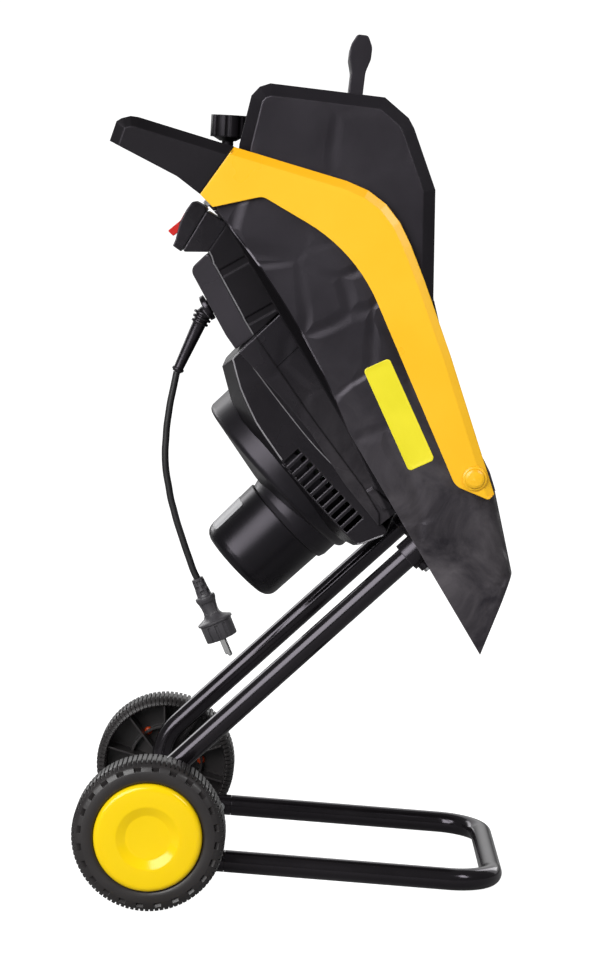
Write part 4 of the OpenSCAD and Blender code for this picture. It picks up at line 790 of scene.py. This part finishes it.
# %% Hub cap
CAP_MM = np.array([
    [22.3, 0.0], [24.8, 0.0], [24.8, 21.2], [24.9, 21.9], [25.2, 22.8], [28.5, 29.9], [28.8, 30.7],
    [28.95, 31.6], [29.0, 33.0], [29.0, 46.5], [28.8, 49.0], [27.9, 51.2], [25.8, 52.7], [23.0, 53.0],
    [17.0, 53.0], [17.0, 50.5], [23.0, 50.5], [26.3, 46.8], [26.5, 34.0], [22.3, 24.0], [22.3, 0.0],
])
PEG_MM = np.array([[4.0, 0.0], [4.0, 3.2], [4.6, 3.9], [8.3, 4.6], [8.7, 3.4], [26.4, 3.4], [26.4, 0.0]])
PEGS, PEG_CIRCLE = 3, 0.038
PEG_TURN = even_turn(20)


def clip_shape(side):
    """Snap pegs: one profile spun about each of the axes that stand evenly round a circle about the axle."""
    angle = np.arange(PEGS) * 2 * np.pi / PEGS
    feet = np.stack([AXLE[0] + PEG_CIRCLE * np.cos(angle), np.full(PEGS, side * WHEEL_MID),
                     AXLE[2] + PEG_CIRCLE * np.sin(angle)], axis=-1)
    pegs = [spun_shape(PEG_MM / 1000, foot, (0, side, 0), ALONG_X, turn=PEG_TURN) for foot in feet]
    return join_shapes(*pegs)


print("cap profile", len(CAP_MM), "points, pegs", PEGS)

# %% Wheels in place
for side, name in ((-1, "right"), (1, "left")):
    tyre = add_piece("tyre_" + name, *tyre_shape(side), "wheel_" + name, "tread", sharp=38)
    core = add_piece("wheel_core_" + name, *core_shape(side), "wheel_" + name, "tread", sharp=38)
    cap = add_piece("hub_disc_" + name, *on_axle(CAP_MM, side), "wheel_" + name, "yellow_plastic", sharp=50)
    clips = add_piece("hub_clips_" + name, *clip_shape(side), "wheel_" + name, "red_plastic", sharp=50)
    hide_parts("wheel_" + name)
    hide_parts("hub_cap_" + name)
    dress(tyre, "tyre_charcoal")
    dress(core, "tyre_charcoal")
    dress(cap, "cap_yellow")
    dress(clips, "peg_painted_shade")
print("tyre quads", len(tyre.data.polygons), "core", len(core.data.polygons), "cap", len(cap.data.polygons))

# %% [markdown]
# ## Gland and plug
# Where the lead leaves the housing it is clamped by a flanged gland, and a tapered sleeve with three rings
# keeps it from kinking. The plug is moulded round the other end: a slotted strain relief, a grip waist and a
# round face with two pins. Both are turned shapes; the slots are dents over part of the turn.

# %% Gland
GLAND_FOOT = np.array([-0.0817, 0.0, 0.5803])
GLAND_AXIS = np.array([-0.8755, 0.0, -0.4833])
SLEEVE_FOOT = np.array([-0.0869, 0.0, 0.5744])
SLEEVE_AXIS = np.array([-0.434, 0.0, -0.901])
FLANGE_ROUND, SLEEVE_ROUND = 0.0008, 0.0006
FLANGE_MM = np.array([[-8.0, 0.0], [-8.0, 7.5], [0.3, 7.5], [0.3, 13.5], [5.3, 13.5], [6.0, 9.0], [7.0, 0.0]])
SLEEVE_MM = np.array([
    [-7.0, 0.0], [-4.0, 5.5], [0.8, 7.6], [1.0, 10.5], [3.4, 10.5], [3.6, 7.7], [5.4, 7.6], [5.6, 9.75],
    [8.0, 9.75], [8.2, 7.3], [10.0, 7.2], [10.2, 9.0], [12.6, 9.0], [12.8, 7.0], [30.0, 6.4], [48.0, 5.7],
    [62.6, 5.1], [62.9, 6.25], [65.4, 6.25], [65.7, 5.0], [66.98, 4.9], [66.98, 0.0],
])
flange = spun_shape(rounded_steps(FLANGE_MM / 1000, FLANGE_ROUND), GLAND_FOOT, GLAND_AXIS, ACROSS)
sleeve = spun_shape(rounded_steps(SLEEVE_MM / 1000, SLEEVE_ROUND), SLEEVE_FOOT, SLEEVE_AXIS, ACROSS)
gland = add_piece("gland_and_sleeve", *join_shapes(flange, sleeve), HOME, "black_plastic", sharp=60)
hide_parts("cable_gland")
dress(gland, "black_moulding")
print("gland quads", len(gland.data.polygons))

# %% Plug
PLUG_FOOT = np.array([-0.098, 0.0, 0.301])
PLUG_AXIS = np.array([0.3746, 0.0, -0.9272])
PLUG_MM = np.array([
    [0.0, 0.0], [0.0, 5.4], [0.6, 6.2], [2.6, 6.3], [2.8, 6.35], [6.2, 6.5], [6.4, 6.55], [8.0, 6.7],
    [8.2, 6.7], [11.6, 6.95], [11.8, 7.0], [13.4, 7.1], [13.6, 7.1], [17.0, 7.4], [17.2, 7.4], [19.4, 7.6],
    [20.0, 8.2], [20.2, 10.2], [20.8, 10.5], [23.4, 10.5], [24.0, 10.2], [26.4, 9.4], [26.6, 9.3],
    [31.0, 8.4], [36.0, 8.0], [39.6, 8.6], [39.8, 8.7], [42.5, 10.5], [45.0, 15.5], [46.0, 17.8],
    [46.6, 18.4], [48.2, 18.4], [48.8, 17.7], [49.0, 16.8], [50.8, 16.7], [51.0, 16.7], [66.2, 16.5],
    [66.8, 16.1], [67.0, 15.2], [67.0, 0.0],
])
PLUG_STEP_DEG = 30
PLUG_COLUMNS_DEG = np.array([-18.5, -17.5, -6, -5, 5, 6, 17.5, 18.5])
ROW_FIRST, ROW_PITCH, ROW_HALF = 4.5, 5.4, 1.85
WINDOWS_FROM, WINDOWS_TO, WINDOW_HALF_DEG = 2.7, 17.1, 18
GRIP_FROM, GRIP_TO, GRIP_HALF_DEG = 26.5, 39.7, 42
GROOVES_FROM, GROOVES_HALF_DEG, GROOVE_HALF_DEG = 50.9, 36, 5.5
WINDOW_DEEP, GRIP_DEEP, GROOVE_DEEP = 1.6, 1.2, 1.4


def plug_shape():
    """Profile spun about the plug's axis; windows, grip panels and grooves are dents over part of the turn.

    The windows stand in three rows, of which the middle one is turned by half a pitch.
    """
    degrees = np.arange(0, 360, PLUG_STEP_DEG)[:, None] + PLUG_COLUMNS_DEG[None, :]
    degrees = np.unique(degrees % 360)
    along = PLUG_MM[:, 0, None]
    stagger = np.where(np.abs(along - ROW_FIRST - ROW_PITCH) < ROW_PITCH / 2, PLUG_STEP_DEG, 0)
    phase = (along - ROW_FIRST) % ROW_PITCH
    in_row = (phase < ROW_HALF) | (phase > ROW_PITCH - ROW_HALF)
    in_relief = (along > WINDOWS_FROM) & (along < WINDOWS_TO)
    window = in_row & in_relief & (off_nearest(degrees + stagger, 2 * PLUG_STEP_DEG) < WINDOW_HALF_DEG)
    off_flank = off_nearest(degrees, 180)
    grip = (along > GRIP_FROM) & (along < GRIP_TO) & (off_flank < GRIP_HALF_DEG)
    groove = (along > GROOVES_FROM) & (off_flank < GROOVES_HALF_DEG)
    groove = groove & (off_nearest(degrees, PLUG_STEP_DEG) < GROOVE_HALF_DEG)
    off_pole = PLUG_MM[:, 1, None] > 0.1
    dent = (WINDOW_DEEP * window + GRIP_DEEP * grip + GROOVE_DEEP * groove) * off_pole / 1000
    return spun_shape(PLUG_MM / 1000, PLUG_FOOT, PLUG_AXIS, ACROSS, turn=np.radians(degrees), dent=dent)


plug = add_piece("plug_grip", *plug_shape(), HOME, "black_plastic", sharp=42)
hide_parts("plug_body")
dress(plug, "plug_vinyl")
print("plug quads", len(plug.data.polygons))

# %% [markdown]
# ## Bare plates
# A yellow plate sits on the near panel and a pale one on the motor can. Each is a rounded rectangle: an
# outline scaled from the middle outward, with a low rim, laid on a plane or wrapped round the can. A patch of
# colour would be simpler, but a thin plate also shows its edge from the side.

# %% Plate helper
def plate_grid(half_wide, half_long, corner=0.004, rim=0.0016, thick=0.0005, steps=8, rings=14):
    """Rounded rectangle as rows from the middle to the edge and down: gives across, along and height arrays.

    Its straight sides get points at even steps too, so that it can wrap round a can. The last rows climb to
    the rim, go over it and down into what carries the plate, and close below.
    """
    even_points = 80
    a = np.linspace(0, np.pi / 2, steps)
    quarter = (np.array([0, 1, 2, 3]) * np.pi / 2)[:, None] + a[None, :]
    sign_x, sign_y = np.array([1, -1, -1, 1])[:, None], np.array([1, 1, -1, -1])[:, None]
    x = sign_x * (half_wide - corner) + corner * np.cos(quarter)
    y = sign_y * (half_long - corner) + corner * np.sin(quarter)
    loop = np.stack([np.append(x, x[0, 0]), np.append(y, y[0, 0])])
    mark = np.append(0, np.cumsum(np.linalg.norm(np.diff(loop, axis=1), axis=0)))
    spots = np.unique(np.append(mark, np.linspace(0, mark[-1], even_points)).round(7))[:-1]
    x, y = (np.interp(spots, mark, coordinate) for coordinate in loop)
    wide_rim, long_rim = rim / half_wide, rim / half_long
    out = np.linspace(0, 1, rings)[:, None]
    step = np.array([0.8, 0.12, 0.0, 0.0])[:, None]
    rows_x = np.vstack([out * (1 - wide_rim), 1 - step * wide_rim, np.zeros((1, 1))])
    rows_y = np.vstack([out * (1 - long_rim), 1 - step * long_rim, np.zeros((1, 1))])
    height = np.concatenate([np.full(rings, 0.8), [1.0, 1.0, 0.8, -0.4, -0.4]]) * thick
    return rows_x * x, rows_y * y, np.broadcast_to(height[:, None], (rings + 5, len(x)))


print("plate grid", plate_grid(0.01, 0.02)[0].shape)

# %% Panel plate
PLATE_MID = np.array([0.106, -0.1496, 0.480])
PLATE_WIDE, PLATE_LONG, PLATE_OUT = np.array([[0.915, 0.0, 0.402], [-0.402, 0.0, 0.915], [0.0, -1.0, 0.0]])
make_finish("plate_yellow", (0.84, 0.74, 0.02), 0.34, grain=1100.0, patch=30.0, bump=0.00001, tone=0.03,
            edge=0.0003)
across, along, lift = (part[..., None] for part in plate_grid(0.0138, 0.0543))
points = PLATE_MID + across * PLATE_WIDE + along * PLATE_LONG + lift * PLATE_OUT
quads = grid_quads(*points.shape[:2], close_cols=True)
plate = add_piece("panel_plate", points, quads, HOME, "yellow_plastic", sharp=50)
dress(plate, "plate_yellow")
print("panel plate", len(plate.data.polygons), "quads")

# %% Motor plate
CAN_X, CAN_TOP, CAN_LONG = 0.039, -0.1205, 0.069
CAN_R, CAN_TAPER = 0.0490, 0.0015
PLATE_Z, WRAP_R = -0.1582, 0.0482


def from_deck(x, y, z):
    """World points of deck points: the deck's x runs down and its z up, both to the right, by its tilt."""
    world_x = DECK[0] + x * TILT_COS + z * TILT_SIN
    world_z = DECK[2] - x * TILT_SIN + z * TILT_COS
    return np.stack([world_x, y + 0 * x, world_z], axis=-1)


make_finish("plate_silver", (0.28, 0.28, 0.29), 0.4, "tool_lines", tone=0.1, metal=0.3, edge=0.0003)
across, along, lift = plate_grid(0.0250, 0.0192, corner=0.002, rim=0.0012, thick=0.0004)
can_z = PLATE_Z + along
reach = CAN_R - CAN_TAPER * (CAN_TOP - can_z) / CAN_LONG + lift
angle = across / WRAP_R
points = from_deck(CAN_X - reach * np.cos(angle), reach * np.sin(angle), can_z)
quads = grid_quads(*points.shape[:2], close_cols=True)
plate = add_piece("motor_plate", points, quads, HOME, "pin_metal", sharp=50)
dress(plate, "plate_silver")
print("motor plate", len(plate.data.polygons), "quads")

# %% [markdown]
# ## Bright lips
# Where two mouldings meet, the real ones have a thin raised lip, and black plastic shows it as a bright line.
# The CAD model leaves such fine trim out. Each lip is a round bead, swept along deck points and half sunk in
# its wall, on both sides of the machine, and coloured light grey as a painted highlight for that bright line.
# A bump could draw the line too, but not its outline.

# %% Lips
COLUMN_SEAM_MM = [[-213.8, 12.6], [-207.7, 11.0], [-203.4, 8.8], [-201.2, 7.6], [-196.8, 6.9], [-170.0, 0.0],
                  [-144.2, -6.7], [-141.2, -7.9], [-130.5, -10.2], [-123.0, -11.9]]
COVER_FACE_MM = [[-121.0, -20.0], [-120.8, -38.4], [-117.0, -42.2], [-97.6, -52.6], [-88.2, -56.6],
                 [-65.2, -64.3], [-52.0, -67.5], [-14.8, -73.2]]
COVER_RIDGE_MM = [[-112.8, -30.0], [-58.4, -36.0], [-5.9, -40.0], [36.8, -39.6]]
COVER_END_MM = [[96.6, -74.6], [99.0, -72.8], [108.2, -50.8]]
COLUMN_Y, FACE_Y, COVER_Y = 0.0519, 0.1079, 0.1078
LIP_R, RIDGE_R = 0.0008, 0.0006
LIPS = ((COLUMN_SEAM_MM, COLUMN_Y, LIP_R), (COVER_FACE_MM, FACE_Y, LIP_R), (COVER_RIDGE_MM, COVER_Y, RIDGE_R),
        (COVER_END_MM, COVER_Y, LIP_R))


def bead_shape(deck_mm, depth, radius):
    """A circle carried along a smooth line through deck points (x, z) in mm, all at one depth y."""
    line = smooth_path(np.array(deck_mm, float)) / 1000
    return closed_sweep(from_deck(line[:, 0], depth, line[:, 1]), radius, sides=10)


beads = [bead_shape(line, side * depth, radius) for side in (-1, 1) for line, depth, radius in LIPS]
lips = add_piece("moulding_lips", *join_shapes(*beads), HOME, "black_plastic", sharp=60)
dress(lips, "lip_painted_highlight")
print("lips", len(lips.data.polygons), "quads")

# %% [markdown]
# ## Latch
# Below the handle a small striker with a plated tongue fills the gap above the switch. A cube with a Bevel
# modifier would do as well. Here each bar is a rounded outline in the deck frame, carried along Y and closed
# at both ends, because the deck's tilt is then in its points.

# %% Latch
STRIKER_MM = np.array([[-244, 42.6], [-240, 42.6], [-240.2, 47.3], [-247.6, 47.3], [-247.6, 42.6],
                       [-244, 42.6]])
SHELF_MM = np.array([[-235, 42.5], [-227, 42.5], [-227, 44.1], [-239.8, 44.1], [-239.8, 42.5], [-235, 42.5]])
TONGUE_MM = np.array([[-251, 40.2], [-247.4, 40.2], [-247.4, 46.2], [-254.4, 46.2], [-254.4, 40.2],
                      [-251, 40.2]])
LATCH_HALF, TONGUE_HALF = 0.030, 0.012
BAR_ROUND, BAR_EASE, BAR_END = 0.0012, 0.0006, 0.88


def bar_shape(outline_mm, half_wide):
    """A closed deck outline carried along Y; both ends draw in a little and close on the outline's middle."""
    ring = rounded_steps(outline_mm / 1000, BAR_ROUND)[:-1]
    middle = ring.mean(axis=0)
    grow = np.array([0.0, BAR_END, 1.0, 1.0, BAR_END, 0.0])[:, None, None]
    eased = half_wide - BAR_EASE
    depth = np.array([-half_wide, -half_wide, -eased, eased, half_wide, half_wide])[:, None]
    flat = middle + grow * (ring - middle)
    points = from_deck(flat[..., 0], depth, flat[..., 1])
    return points, grid_quads(*points.shape[:2], close_cols=True)


block = join_shapes(bar_shape(STRIKER_MM, LATCH_HALF), bar_shape(SHELF_MM, LATCH_HALF))
striker = add_piece("latch_striker", *block, HOME, "black_plastic", sharp=50)
tongue = add_piece("latch_tongue", *bar_shape(TONGUE_MM, TONGUE_HALF), HOME, "steel", sharp=50)
dress(striker, "black_moulding")
dress(tongue, "zinc_steel")
print("latch", len(striker.data.polygons) + len(tongue.data.polygons), "quads")
